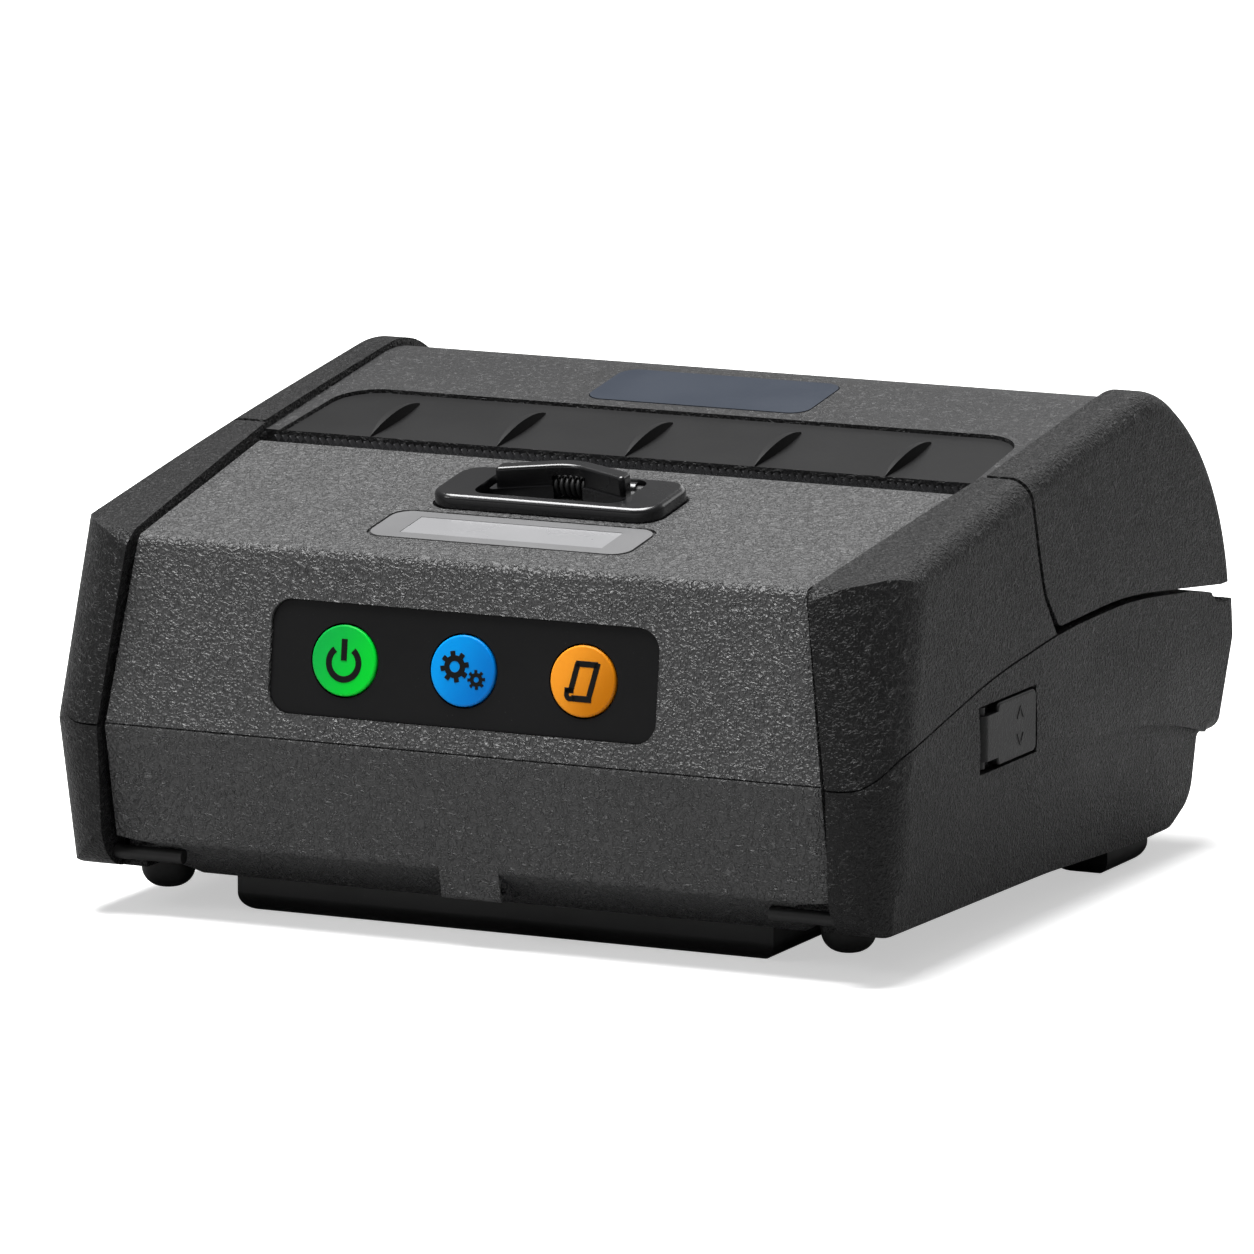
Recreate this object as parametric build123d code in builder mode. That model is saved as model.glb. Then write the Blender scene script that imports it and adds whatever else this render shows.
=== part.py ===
from build123d import *
import math
import os

os.makedirs("parts", exist_ok=True)

# Overall size: X across, front towards -Y, standing on Z = 0
WIDTH = 142.0
DEPTH = 136.0
SIDE = WIDTH / 2
FRONT = -DEPTH / 2
BACK = DEPTH / 2

# Walls and clearances
WALL = 2.2
SEAT = 0.15
GROOVE = 1.0
RUNNING = 0.05
MOVING = 0.3

# Widths, measured from the middle plane
GUARD_WIDTH = 11.0
GUARD_SKIN = 5.0
RIDGE_NARROW = 4.2
PANEL_HALF = SIDE - GUARD_WIDTH
RIDGE_HALF = PANEL_HALF - RIDGE_NARROW
CORE_HALF = SIDE - GUARD_SKIN
ROOM_HALF = CORE_HALF - WALL
CORE_DROP = 2.0
GUARD_CORNER = 9.0
GUARD_REAR_CORNER = 3.2
GUARD_ROUND = 3.8
CORNER_GROWTH = 0.238

# Sides of the guards: widest at the seam, leaning in above and below it, with a soft belly between
SIDE_DRAFT = 0.0515
SIDE_UNDERCUT = 0.09
SIDE_BELLY = 60.0
ABOVE = 90.0
BELOW = -5.0
OVER = 3.0

# Side view of the front cover and the lid
SEAM_Z = 30.3
PANEL_INSET = 0.8
RIDGE_BACK = 4.4
RIDGE_Z = 59.6
RIDGE_ROUND = 1.6
ROOF_SLOPE = 0.1543
CREST_BACK = 26.0
CREST_ROUND = 28.0
SHOULDER_BACK = 2.6
SHOULDER_Z = 58.5
SHOULDER_ROUND = 30.0
TAIL_BACK = 2.4
LID_LIP_Z = 41.7
LID_CHAMFER = 2.4
GUARD_RIDGE_BACK = 2.34
GUARD_RIDGE_RISE = 0.3
GUARD_RIDGE_ROUND = 4.5
GUARD_SLOPE = 0.156
GUARD_BOW = 0.87
GUARD_BOW_ROUND = 1500.0
GUARD_CREST_BACK = 27.0
GUARD_CREST_ROUND = 22.0
GUARD_SHOULDER_Z = 59.7
GUARD_SHOULDER_ROUND = 38.0
GUARD_TAIL_BACK = 0.6

# Side view of the lower case
PANEL_FOOT_Z = 12.3
PANEL_FOOT_BACK = 4.4
LIP_BACK = 15.5
FLOOR_Z = 5.6
LEDGE_Z = 18.3
LEDGE_BACK = 4.4
HEEL_BACK = 10.1
HEEL_Z = 8.0
TAIL_FLOOR_BACK = 23.0
SKIRT_BACK = 1.6
SKIRT_FRONT_Z = 7.4
SKIRT_CORNER = 8.0
SKIRT_MID_Z = 6.2
SKIRT_REAR_Z = 4.4
SKIRT_REAR_FROM = 33.0
SKIRT_REAR_TO = 18.0
REAR_BEND_BACK = 1.8
REAR_BEND_Z = 32.0
REAR_EDGE_Z = 38.2
LIP_HALF = PANEL_HALF - 10.6
BELLY_HALF = SIDE - 14.0
BELLY_RISE = 4.4

# Seam between the lower case and what stands on it
SEAM_GAP = 0.3
SEAM_FLAT = 0.5
SEAM_KNEE_BACK = 7.0
SEAM_KNEE_Z = 35.1
SEAM_RISE_BACK = 0.294 * DEPTH
SEAM_RISE_Z = 41.5
SEAM_MID_BACK = 0.5 * DEPTH
SEAM_MID_Z = 44.4
SEAM_TOP_BACK = 0.309 * DEPTH
SEAM_TOP_Z = 44.8
SEAM_FALL_BACK = 14.0
SEAM_FALL_Z = 42.0

# Line on which the front cover ends and the lid begins
TEAR_Y = FRONT + 56.0
SPLIT_GAP = 1.0
SPLIT_TOP_Y = TEAR_Y + 0.7
SPLIT_MID_Y = TEAR_Y + 2.7
SPLIT_MID_Z = 57.0
SPLIT_LOW_Y = TEAR_Y + 4.1
SPLIT_LOW_Z = 51.0
SPLIT_FOOT_Y = TEAR_Y + 11.2
SPLIT_FOOT_Z = 40.0
SLOT_WIDTH = 4.0
SLOT_FLOOR_Z = 45.4
LID_EDGE_Y = TEAR_Y + 9.6
LID_EDGE_Z = 45.3
LID_EDGE_TOP_Z = 46.0
LID_EDGE_TOP_BACK = 44.0
LID_EDGE_LOW_BACK = 6.5

# Crease on the lower side and the recess under it
CREASE_DEPTH = 2.0
CREASE_START = 0.4

# Lid hinge
HINGE_Y = BACK - 5.6
HINGE_Z = 44.4
KNUCKLE_R = 3.2
HINGE_PIN_R = 1.5
HINGE_RELIEF_R = 5.9
LID_KNUCKLE_X = 26.0
KNUCKLE_LONG = 12.0
KNUCKLE_WEB = 3.4
WEB_ROOT = 4.0
KNUCKLE_GAP = 0.3

# Key panel on the front face
KEY_PANEL_HALF = 32.5
KEY_PANEL_TALL = 17.5
KEY_PANEL_Z = 43.35
KEY_PANEL_ROUND = 3.5
KEY_RECESS = 0.5
KEY_PITCH = 20.0
KEY_R = 5.4
KEY_PROUD = 0.35
KEY_TRAVEL = 0.8
KEY_FLANGE = 0.8
KEY_STEM_R = 2.0
KEY_STEM = 1.0
KEY_BOARD = 1.6
KEY_DOME = 1.1

# Display on the roof of the front cover
FILM_HALF = 22.0
FILM_DEEP = 12.5
FILM_Y = FRONT + 19.2
FILM_THICK = 0.4
WINDOW_HALF = 17.0
WINDOW_DEEP = 7.6
DISPLAY_THICK = 3.4
DISPLAY_MARGIN = 2.5

# Release latch on the roof of the front cover
LATCH_X = 0.7
LATCH_Y = FRONT + 35.0
LATCH_HALF = 19.2
LATCH_DEEP = 15.0
LATCH_ROUND = 4.0
LATCH_PROUD = 2.2
LATCH_SUNK = 1.0
FINGER_HALF = 12.6
FINGER_FRONT = 5.6
FINGER_REAR = 6.3
FINGER_ROUND = 2.5
LEVER_HALF = 10.9
LEVER_FLANGE = 0.8
LEVER_FACE = -0.4
LEVER_FACE_ARCH = 4.8
LEVER_REAR = 2.6
LEVER_REAR_ARCH = 3.0
LEVER_TOP_ARCH = 4.5
LEVER_TALL = 2.4
LEVER_LEDGE = 1.0
LEVER_SIT = 1.4
LEG_X = 8.0
LEG_WIDE = 3.0
LATCH_PIN_R = 0.9
LATCH_PIN_BACK = 4.6
LATCH_PIN_UP = 0.9
LEG_LONG = 6.0
LATCH_BAR_HALF = 14.0
LATCH_BAR_DEEP = 4.0

# Tear bar, exit guide and label plate
TOOTH_PITCH = 1.3
TOOTH_TALL = 1.0
TEAR_THICK = 1.6
TEAR_TALL = 2.6
GUIDE_DEPTH = 0.6
GUIDE_PLATE = 0.8
GUIDE_FRONT_HALF = PANEL_HALF - 0.8
GUIDE_BACK_HALF = PANEL_HALF - 1.8
GUIDE_BACK_Y = TEAR_Y + 25.0
GUIDE_ROUND = 7.0
FIN_PITCH = 22.0
FIN_COUNT = 5
FIN_LONG = 17.5
FIN_TALL = 1.8
FIN_THICK = 1.2
PLATE_HALF = 19.0
PLATE_DEEP = 15.7
PLATE_Y = TEAR_Y + 35.6
PLATE_THICK = 0.6
PLATE_SUNK = 0.5

# Print mechanism
PLATEN_Y = TEAR_Y + 7.0
PLATEN_Z = 56.5
PLATEN_R = 6.0
CHASSIS_X = ROOM_HALF - 6.8
PLATEN_HALF = CHASSIS_X - 3.5
PLATEN_SHAFT_R = 2.5
BUSH_R = 4.0
BUSH_LONG = 4.6
GEAR_MODULE = 0.8
PLATEN_TEETH = 16
IDLER_TEETH = 24
PINION_TEETH = 12
GEAR_FACE = 3.0
GEAR_BACKLASH = 0.2
PRESSURE_ANGLE = 20.0
ADDENDUM = 0.8
DEDENDUM = 1.25
PIN_R = 1.5
CHASSIS_THICK = 1.5
CHASSIS_FRONT = PLATEN_Y - 27.0
CHASSIS_REAR = PLATEN_Y + 7.0
MOTOR_R = 11.5
MOTOR_LONG = 18.0
MOTOR_SHAFT_R = 1.2
HEAD_THICK = 5.0
HEAD_TALL = 13.0
HEAD_HALF = CHASSIS_X - 4.0
HEAD_PIN_R = 1.2
SPRING_R = 3.0
SPRING_WIRE_R = 0.3
SPRING_LONG = 6.0
BRACKET_THICK = 1.5
BRACKET_TALL = 10.0
HOLDER_THICK = 1.5

# Media well, roll guides and their racks
WELL_FRONT_GAP = 4.5
WELL_BACK_GAP = 15.5
WELL_FOOT_Z = 17.5
ROLL_R = (BACK - WELL_BACK_GAP - PLATEN_Y - WELL_FRONT_GAP) / 2
ROLL_Y = BACK - WELL_BACK_GAP - ROLL_R
ROLL_Z = WELL_FOOT_Z + ROLL_R
CRADLE_THICK = 1.4
CRADLE_GAP = 0.4
CRADLE_HALF = CHASSIS_X - CRADLE_GAP
RACK_MODULE = 1.0
RACK_PINION_TEETH = 12
RACK_FACE = 2.6
RACK_WIDE = 3.5
RACK_Z = 12.6
GUIDE_THICK = 2.0
MEDIA_HALF = CRADLE_HALF - 2.6
MEDIA_TRAVEL = 28.0
GUIDE_NECK = 6.0
GUIDE_DISC_R = 14.0
RAIL_Y = 9.4
RAIL_WIDE = 1.6

# Battery and its bay
BATTERY_HALF = LIP_HALF - 4.1
BATTERY_FRONT = FRONT + 16.0
BATTERY_DEEP = 48.0
BATTERY_TALL = 20.0
BATTERY_ROUND = 3.0
BAY_GAP = 0.4
BAY_WALL = 1.6

# Boards and ports
BOARD = 1.6
MAIN_BOARD_LEFT = -34.0
MAIN_BOARD_RIGHT = BATTERY_HALF + 4.7
STANDOFF = 2.0
PORT_Y = FRONT + 48.2
PORT_Z = 32.8
PORT_DEEP = 14.5
PORT_TALL = 9.6
PORT_ROUND = 1.2
PORT_HOLE_DEEP = 12.5
PORT_HOLE_TALL = 8.0
FLAP_THICK = 1.7
FLAP_PLUG = 2.4

# Feet, strap bars and screws
FRONT_FOOT_X = SIDE - 13.5
FRONT_FOOT_Y = FRONT + 16.5
FRONT_FOOT_R = 4.2
FRONT_FOOT_Z = 2.9
REAR_FOOT_X = SIDE - 10.5
REAR_FOOT_Y = BACK - 31.0
REAR_FOOT_LONG = 16.0
REAR_FOOT_WIDE = 9.5
STRAP_BAR_R = 1.1
POST_R = 3.4
POST_X = SIDE - 16.5
POST_FRONT_Y = FRONT + 30.0
POST_REAR_Y = BACK - 18.0
POST_TOP_Z = 22.0
POST_FOOT_Z = 11.5
SCREW_R = 1.3
SCREW_HEAD_R = 2.4
SCREW_HEAD = 1.8

# Front tab, strap bars, foot seats and screws of the lower case
TAB_HALF = 5.0
TAB_FOOT_Z = 7.6
NOTCH_DEEP = 8.5
NOTCH_SLANT = 4.2
NOTCH_ROUND = 3.0
NOTCH_TOP_Z = PANEL_FOOT_Z - 0.6
STRAP_BAR_BACK = 6.2
STRAP_BAR_Z = 9.9
STRAP_BAR_END = PANEL_HALF + 2.5
FRONT_FOOT_TOP = 9.2
REAR_FOOT_TOP = 7.5
SCREW_SEAT_Z = 10.2
SCREW_BITE = 12.0
SKIRT_ROUND = 2.4
CREASE_FRONT_Z = 10.4
CREASE_TOP_Y = BACK - 68.0
CREASE_TOP_Z = 33.8
CREASE_REAR_Z = 15.1
CREASE_ROUND = 185.0
CONNECTOR_X = 30.0
CONNECTOR_Y = BATTERY_FRONT + BATTERY_DEEP - 6.0
CONNECTOR_WIDE = 12.0
CONNECTOR_DEEP = 5.6
BOARD_POSTS_X = (MAIN_BOARD_LEFT + 4.0, MAIN_BOARD_RIGHT - 6.0)
BOARD_POSTS_Y = (BATTERY_FRONT + 6.0, BATTERY_FRONT + BATTERY_DEEP - 6.0)
FLAP_MARGIN = 0.4
POCKET_LONG = PORT_DEEP + 7.0
FLAP_BARREL_R = 1.4
FLAP_BARREL_TALL = 7.0
FLAP_PIN_R = 0.7
FLAP_PIN_TALL = 9.4
FLAP_PIN_X = SIDE - FLAP_BARREL_R
FLAP_PIN_Y = PORT_Y - PORT_DEEP / 2 - 3.6
FILM_ROUND = 3.0
FILM_GAP = 0.35
LEG_SLOT_MID = 2.5
LEG_SLOT_LONG = 5.4
LEG_SLOT_ROUND = 0.8
LEG_FORWARD = 1.5
LEG_DEEP = 2.4
PLATE_ROUND = 3.0
FIN_Y = TEAR_Y + 11.8

# Small sizes of the keys, the latch, the holder, the contacts and the feet
KEY_RIM = 1.0
KEY_POST_X = 30.0
KEY_POST_Z = 5.6
KEY_ROUND = 0.3
KEY_FLANGE_DEPTH = WALL + SEAT + KEY_RIM + 0.1
KEY_BOARD_DEPTH = KEY_FLANGE_DEPTH + KEY_FLANGE + KEY_STEM + KEY_TRAVEL + 0.1 + KEY_DOME
LATCH_RIM_ROUND = 0.9
LATCH_PIN_GRIP = 2.0
LEVER_HUB = 0.5
LATCH_SPRING_HALF = 2.8
LATCH_SPRING_R = 1.35
LATCH_SPRING_SPACE = 2.0
LEVER_ROUND = 0.5
BUSH_OUT = PLATEN_HALF + 0.7
HOLDER_DEEP = 16.0
PINION_BEARING = 206.0
CONTACT_WIDE = 1.6
CONTACT_DEEP = 4.0
CONTACT_SUNK = 0.4
FRONT_FOOT_ROUND = 3.2
REAR_FOOT_ROUND = 3.0
SCREW_GRIP = 6.0

# Roundings of the side views of the lower case
PANEL_FOOT_ROUND = 1.2
LIP_ROUND = 0.8
TAIL_ROUND = 3.0
HEEL_ROUND = 3.0
LEDGE_ROUND = 1.0
LEDGE_EDGE_ROUND = 1.5
SKIRT_MID_ROUND = 300.0
SKIRT_REAR_ROUND = 60.0
SKIRT_END_ROUND = 6.0
GUARD_HEEL_ROUND = 5.0
GUARD_LEDGE_ROUND = 2.6
REAR_BEND_ROUND = 20.0

# Roundings of the seam, the split line and the lid's lower edge
SEAM_START_ROUND = 3.0
SEAM_KNEE_ROUND = 12.0
SEAM_RISE_ROUND = 200.0
SEAM_TOP_ROUND = 150.0
SEAM_FALL_ROUND = 60.0
SPLIT_TOP_ROUND = 4.0
SPLIT_MID_ROUND = 40.0
SPLIT_LOW_ROUND = 8.0
LID_EDGE_ROUND = 2.0
LID_EDGE_TOP_ROUND = 150.0

# Small inner sizes
STANDOFF_R = 2.0
PINION_BOSS_R = 3.0
SENSOR_WIDE = 12.0
SENSOR_DEEP = 4.5
SENSOR_TALL = 6.0
SENSOR_ROUND = 0.6
HUB_R = 6.2
HUB_TIP_R = 5.4
HUB_LONG = 4.0
SPRING_COILS = 4
SPRING_END = 0.4
HEAD_SPRING_X = HEAD_HALF * 0.55
CHIP_WIDE = 14.0
CHIP_TALL = 1.6
SOCKET_LONG = 30.0
SOCKET_TALL = 5.0
PORT_BOARD = 1.2
DATA_PORT_DEEP = 5.2
DATA_PORT_TALL = 4.6
DATA_PORT_Y = PORT_Y - 2.8
DATA_PORT_WALL = 0.5
POWER_JACK_DEEP = 5.0
POWER_JACK_TALL = 6.0
POWER_JACK_Y = PORT_Y + 3.0
POWER_JACK_HOLE_R = 1.8
PORT_SOCKET_DEEP = 4.5
SCREW_DRIVE_R = 0.9
FINGER_HOLLOW_R = 7.0
FINGER_HOLLOW_TALL = 3.0
BATTERY_TOP_ROUND = 0.6
LEVER_CORNER = 0.6
LEVER_ARCH_ROUND = 6.0
LEVER_NOSE_ROUND = 8.0
LEVER_PADDLE_ROUND = 2.0
LEVER_PADDLE_ARCH = 0.4
BAR_ROUND = 1.0
HOLDER_EAR = 1.0
GEAR_GAP = 1.1
SHAFT_END = 0.6
SHAFT_CHAMFER = 0.4
PIN_HEAD = 0.8
ROOM_TOP_Z = RIDGE_Z + 8.0

LEAN = (RIDGE_BACK - PANEL_INSET) / (RIDGE_Z - SEAM_Z)
GUARD_LEAN = GUARD_RIDGE_BACK / (RIDGE_Z + GUARD_RIDGE_RISE - SEAM_Z)
SKIRT_LEAN = SKIRT_BACK / (SEAM_Z - SKIRT_FRONT_Z)
REAR_LEAN = REAR_BEND_BACK / (REAR_EDGE_Z - REAR_BEND_Z)

# The two leaning planes of a side meet here, just outside the belly that is as wide as the printer
draft_slant = math.hypot(1, SIDE_DRAFT)
undercut_slant = math.hypot(1, SIDE_UNDERCUT)
SIDE_MEET = SIDE + SIDE_BELLY * (
    draft_slant - 1
    + SIDE_DRAFT * (undercut_slant - draft_slant) / (SIDE_DRAFT + SIDE_UNDERCUT)
)


def roof_z(y):
    return RIDGE_Z + ROOF_SLOPE * (y - FRONT - RIDGE_BACK)


def outline(plane, points, radius=0):
    with BuildSketch(plane) as sketch:
        with BuildLine():
            FilletPolyline(*points, radius=radius, close=True)
        make_face()
    return sketch.sketch


# Planes that lie on the front face and on the roof, looking outwards
front_normal = Vector(0, -1, LEAN).normalized()
roof_normal = Vector(0, -ROOF_SLOPE, 1).normalized()


def front_plane(z, depth=0.0):
    y = FRONT + PANEL_INSET + LEAN * (z - SEAM_Z)
    return Plane(Vector(0, y, z) - front_normal * depth, x_dir=(1, 0, 0), z_dir=front_normal)


def roof_plane(y, depth=0.0, x=0.0):
    return Plane(Vector(x, y, roof_z(y)) - roof_normal * depth, x_dir=(1, 0, 0), z_dir=roof_normal)


latch_pin_at = (
    roof_plane(LATCH_Y).origin
    + roof_plane(LATCH_Y).y_dir * LATCH_PIN_BACK
    + roof_normal * LATCH_PIN_UP
)
contact_rows = [CONNECTOR_X + (index - 1.5) * 2.6 for index in range(4)]

# Side views, drawn on YZ planes
def upper_panel(x):
    foot_z = FLOOR_Z
    foot_y = FRONT + PANEL_INSET - LEAN * (SEAM_Z - foot_z)
    return outline(
        Plane.YZ.offset(x),
        [
            (foot_y, foot_z),
            (FRONT + RIDGE_BACK, RIDGE_Z),
            (BACK - CREST_BACK, roof_z(BACK - CREST_BACK)),
            (BACK - SHOULDER_BACK, SHOULDER_Z),
            (BACK - TAIL_BACK, LID_LIP_Z),
            (BACK - TAIL_BACK, foot_z),
        ],
        [0, RIDGE_ROUND, CREST_ROUND, SHOULDER_ROUND, 0, 0],
    )


def upper_guard(x):
    ridge_y = FRONT + GUARD_RIDGE_BACK
    ridge_z = RIDGE_Z + GUARD_RIDGE_RISE
    crest_y = BACK - GUARD_CREST_BACK
    crest_z = ridge_z + GUARD_SLOPE * (crest_y - ridge_y)
    return outline(
        Plane.YZ.offset(x),
        [
            (FRONT - GUARD_LEAN * (SEAM_Z - FLOOR_Z), FLOOR_Z),
            (ridge_y, ridge_z),
            ((ridge_y + crest_y) / 2, (ridge_z + crest_z) / 2 + GUARD_BOW),
            (crest_y, crest_z),
            (BACK - GUARD_TAIL_BACK, GUARD_SHOULDER_Z),
            (BACK - GUARD_TAIL_BACK, FLOOR_Z),
        ],
        [0, GUARD_RIDGE_ROUND, GUARD_BOW_ROUND, GUARD_CREST_ROUND, GUARD_SHOULDER_ROUND, 0],
    )


def lower_panel(x):
    return outline(
        Plane.YZ.offset(x),
        [
            (FRONT + PANEL_INSET, RIDGE_Z),
            (FRONT + PANEL_INSET, SEAM_Z),
            (FRONT + PANEL_FOOT_BACK, PANEL_FOOT_Z),
            (FRONT + LIP_BACK, FLOOR_Z),
            (BACK - TAIL_FLOOR_BACK, FLOOR_Z),
            (BACK - HEEL_BACK - PANEL_INSET - 1, HEEL_Z + 2),
            (BACK - HEEL_BACK - PANEL_INSET, LEDGE_Z),
            (BACK - LEDGE_BACK - PANEL_INSET, LEDGE_Z),
            (BACK - PANEL_INSET, REAR_EDGE_Z),
            (BACK - PANEL_INSET, RIDGE_Z),
        ],
        [0, 0, PANEL_FOOT_ROUND, LIP_ROUND, TAIL_ROUND, HEEL_ROUND, LEDGE_ROUND, LEDGE_EDGE_ROUND,
         0, 0],
    )


def lower_guard(x):
    return outline(
        Plane.YZ.offset(x),
        [
            (FRONT - SKIRT_LEAN * (RIDGE_Z - SEAM_Z), RIDGE_Z),
            (FRONT + SKIRT_BACK, SKIRT_FRONT_Z),
            ((FRONT + BACK) / 2, SKIRT_MID_Z),
            (BACK - SKIRT_REAR_FROM, SKIRT_REAR_Z),
            (BACK - SKIRT_REAR_TO, SKIRT_REAR_Z),
            (BACK - HEEL_BACK - SEAM_GAP, HEEL_Z),
            (BACK - HEEL_BACK, LEDGE_Z),
            (BACK - LEDGE_BACK, LEDGE_Z),
            (BACK - REAR_BEND_BACK, REAR_BEND_Z),
            (BACK + REAR_LEAN * (RIDGE_Z - REAR_EDGE_Z), RIDGE_Z),
        ],
        [0, SKIRT_CORNER, SKIRT_MID_ROUND, SKIRT_REAR_ROUND, SKIRT_END_ROUND, GUARD_HEEL_ROUND,
         LEDGE_ROUND, GUARD_LEDGE_ROUND, REAR_BEND_ROUND, 0],
    )


# The seam as seen from the side, carried past both ends of the case
def seam_points(rise=0.0):
    return [
        (FRONT - OVER, SEAM_Z + rise),
        (FRONT + SEAM_FLAT, SEAM_Z + rise),
        (FRONT + SEAM_KNEE_BACK, SEAM_KNEE_Z + rise),
        (FRONT + SEAM_RISE_BACK, SEAM_RISE_Z + rise),
        (BACK - SEAM_MID_BACK, SEAM_MID_Z + rise),
        (BACK - SEAM_TOP_BACK, SEAM_TOP_Z + rise),
        (BACK - SEAM_FALL_BACK, SEAM_FALL_Z + rise),
        (BACK + OVER, REAR_EDGE_Z - OVER * (SEAM_FALL_Z - REAR_EDGE_Z) / SEAM_FALL_BACK + rise),
    ]


SEAM_ROUNDS = [0, SEAM_START_ROUND, SEAM_KNEE_ROUND, SEAM_RISE_ROUND, SEAM_RISE_ROUND,
               SEAM_TOP_ROUND, SEAM_FALL_ROUND, 0]


def lower_zone(x):
    return outline(
        Plane.YZ.offset(x),
        seam_points() + [(BACK + OVER, BELOW), (FRONT - OVER, BELOW)],
        SEAM_ROUNDS + [0, 0],
    )


# Space of the front cover: above the seam and in front of the split line
def cover_zone():
    with BuildPart() as block:
        extrude(
            outline(
                Plane.YZ.offset(-SIDE - OVER),
                seam_points(SEAM_GAP) + [(BACK + OVER, ABOVE), (FRONT - OVER, ABOVE)],
                SEAM_ROUNDS + [0, 0],
            ),
            amount=WIDTH + 2 * OVER,
        )
        extrude(
            outline(
                Plane.YZ.offset(-SIDE - OVER),
                [
                    (FRONT - OVER, BELOW),
                    (SPLIT_FOOT_Y, BELOW),
                    (SPLIT_FOOT_Y, SPLIT_FOOT_Z),
                    (SPLIT_LOW_Y, SPLIT_LOW_Z),
                    (SPLIT_MID_Y, SPLIT_MID_Z),
                    (SPLIT_TOP_Y, roof_z(SPLIT_TOP_Y)),
                    (SPLIT_TOP_Y, ABOVE),
                    (FRONT - OVER, ABOVE),
                ],
                [0, 0, 0, SPLIT_LOW_ROUND, SPLIT_MID_ROUND, SPLIT_TOP_ROUND, 0, 0],
            ),
            amount=WIDTH + 2 * OVER,
            mode=Mode.INTERSECT,
        )
    return block.part


def lid_zone(x):
    step = SPLIT_GAP
    return outline(
        Plane.YZ.offset(x),
        [
            (SPLIT_TOP_Y + step, ABOVE),
            (SPLIT_TOP_Y + step, roof_z(SPLIT_TOP_Y)),
            (SPLIT_MID_Y + step, SPLIT_MID_Z),
            (SPLIT_LOW_Y + step, SPLIT_LOW_Z),
            (LID_EDGE_Y, LID_EDGE_Z),
            (BACK - LID_EDGE_TOP_BACK, LID_EDGE_TOP_Z),
            (BACK - LID_EDGE_LOW_BACK, LID_LIP_Z),
            (BACK - GUARD_TAIL_BACK - LID_CHAMFER, LID_LIP_Z),
            (BACK + OVER, LID_LIP_Z + LID_CHAMFER + GUARD_TAIL_BACK + OVER),
            (BACK + OVER, ABOVE),
        ],
        [0, SPLIT_TOP_ROUND, SPLIT_MID_ROUND, SPLIT_LOW_ROUND, LID_EDGE_ROUND, LID_EDGE_TOP_ROUND,
         0, 0, 0, 0],
    )


# Plan view of a block with rounded corners
def plan(z, half, front, back, corner, rear_corner):
    return outline(
        Plane.XY.offset(z),
        [(-half, front), (half, front), (half, back), (-half, back)],
        [corner, corner, rear_corner, rear_corner],
    )


# Block with round front corners whose radius grows above the seam
def corner_block(half, front, back, corner, rear_corner, draft=0.0, lean=0.0, undercut=0.0, skirt=0.0):
    rise = ABOVE - SEAM_Z
    fall = SEAM_Z - BELOW
    seam = plan(SEAM_Z, half, front, back, corner, rear_corner)
    with BuildPart() as block:
        loft(
            [seam, plan(ABOVE, half - draft * rise, front + lean * rise, back,
                        corner + CORNER_GROWTH * rise, rear_corner)],
            ruled=True,
        )
        loft(
            [plan(BELOW, half - undercut * fall, front + skirt * fall, back, corner, rear_corner),
             seam],
            ruled=True,
        )
    return block.part


def core_block(side_view, inset, half, corner):
    with BuildPart() as block:
        extrude(offset(side_view(-half), amount=-inset), amount=2 * half)
        add(corner_block(half, FRONT + PANEL_INSET + inset, BACK, corner, corner),
            mode=Mode.INTERSECT)
    return block.part


def belly_view(half, drop=0.0):
    return outline(
        Plane.XZ.offset(-BACK - OVER),
        [
            (-half, FLOOR_Z + BELLY_RISE + drop), (-BELLY_HALF + drop, FLOOR_Z + BELLY_RISE + drop),
            (-LIP_HALF + drop, FLOOR_Z - 1 + drop), (LIP_HALF - drop, FLOOR_Z - 1 + drop),
            (BELLY_HALF - drop, FLOOR_Z + BELLY_RISE + drop), (half, FLOOR_Z + BELLY_RISE + drop),
            (half, ABOVE), (-half, ABOVE),
        ],
        [0, 3, 1, 1, 3, 0, 0, 0],
    )


# Space between the guards in front of the case, narrowing upwards
def front_room(grow=0.0):
    spread = RIDGE_NARROW / (RIDGE_Z - SEAM_Z)
    low = PANEL_HALF + grow
    top = low - spread * (ROOM_TOP_Z - SEAM_Z)
    with BuildPart() as block:
        with BuildSketch(Plane.XZ.offset(-FRONT + OVER)):
            Polygon((-low, FLOOR_Z), (low, FLOOR_Z), (low, SEAM_Z), (top, ROOM_TOP_Z),
                    (-top, ROOM_TOP_Z), (-low, SEAM_Z), align=None)
        extrude(amount=-OVER - RIDGE_BACK - 3 * WALL)
    return block.part


# Space between the guards over the roof, widening towards the tear bar
def roof_room(grow=0.0):
    rear_y = TEAR_Y + 2 * SLOT_WIDTH
    with BuildPart() as block:
        with BuildSketch(Plane.XY.offset(RIDGE_Z - 3 * WALL)):
            Polygon(
                (-RIDGE_HALF - grow, FRONT - OVER),
                (RIDGE_HALF + grow, FRONT - OVER),
                (RIDGE_HALF + grow, FRONT + RIDGE_BACK),
                (PANEL_HALF + grow, TEAR_Y),
                (PANEL_HALF + grow, rear_y),
                (-PANEL_HALF - grow, rear_y),
                (-PANEL_HALF - grow, TEAR_Y),
                (-RIDGE_HALF - grow, FRONT + RIDGE_BACK),
                align=None,
            )
        extrude(amount=ABOVE - RIDGE_Z)
    return block.part


def panel_block(room):
    with BuildPart() as block:
        extrude(upper_panel(-SIDE), amount=WIDTH)
        add(room, mode=Mode.INTERSECT)
    return block.part


def lid_block(half, inset=0.0):
    with BuildPart() as block:
        if inset:
            extrude(offset(upper_panel(-half), amount=-inset), amount=2 * half)
        else:
            extrude(upper_panel(-half), amount=2 * half)
    return block.part


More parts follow.
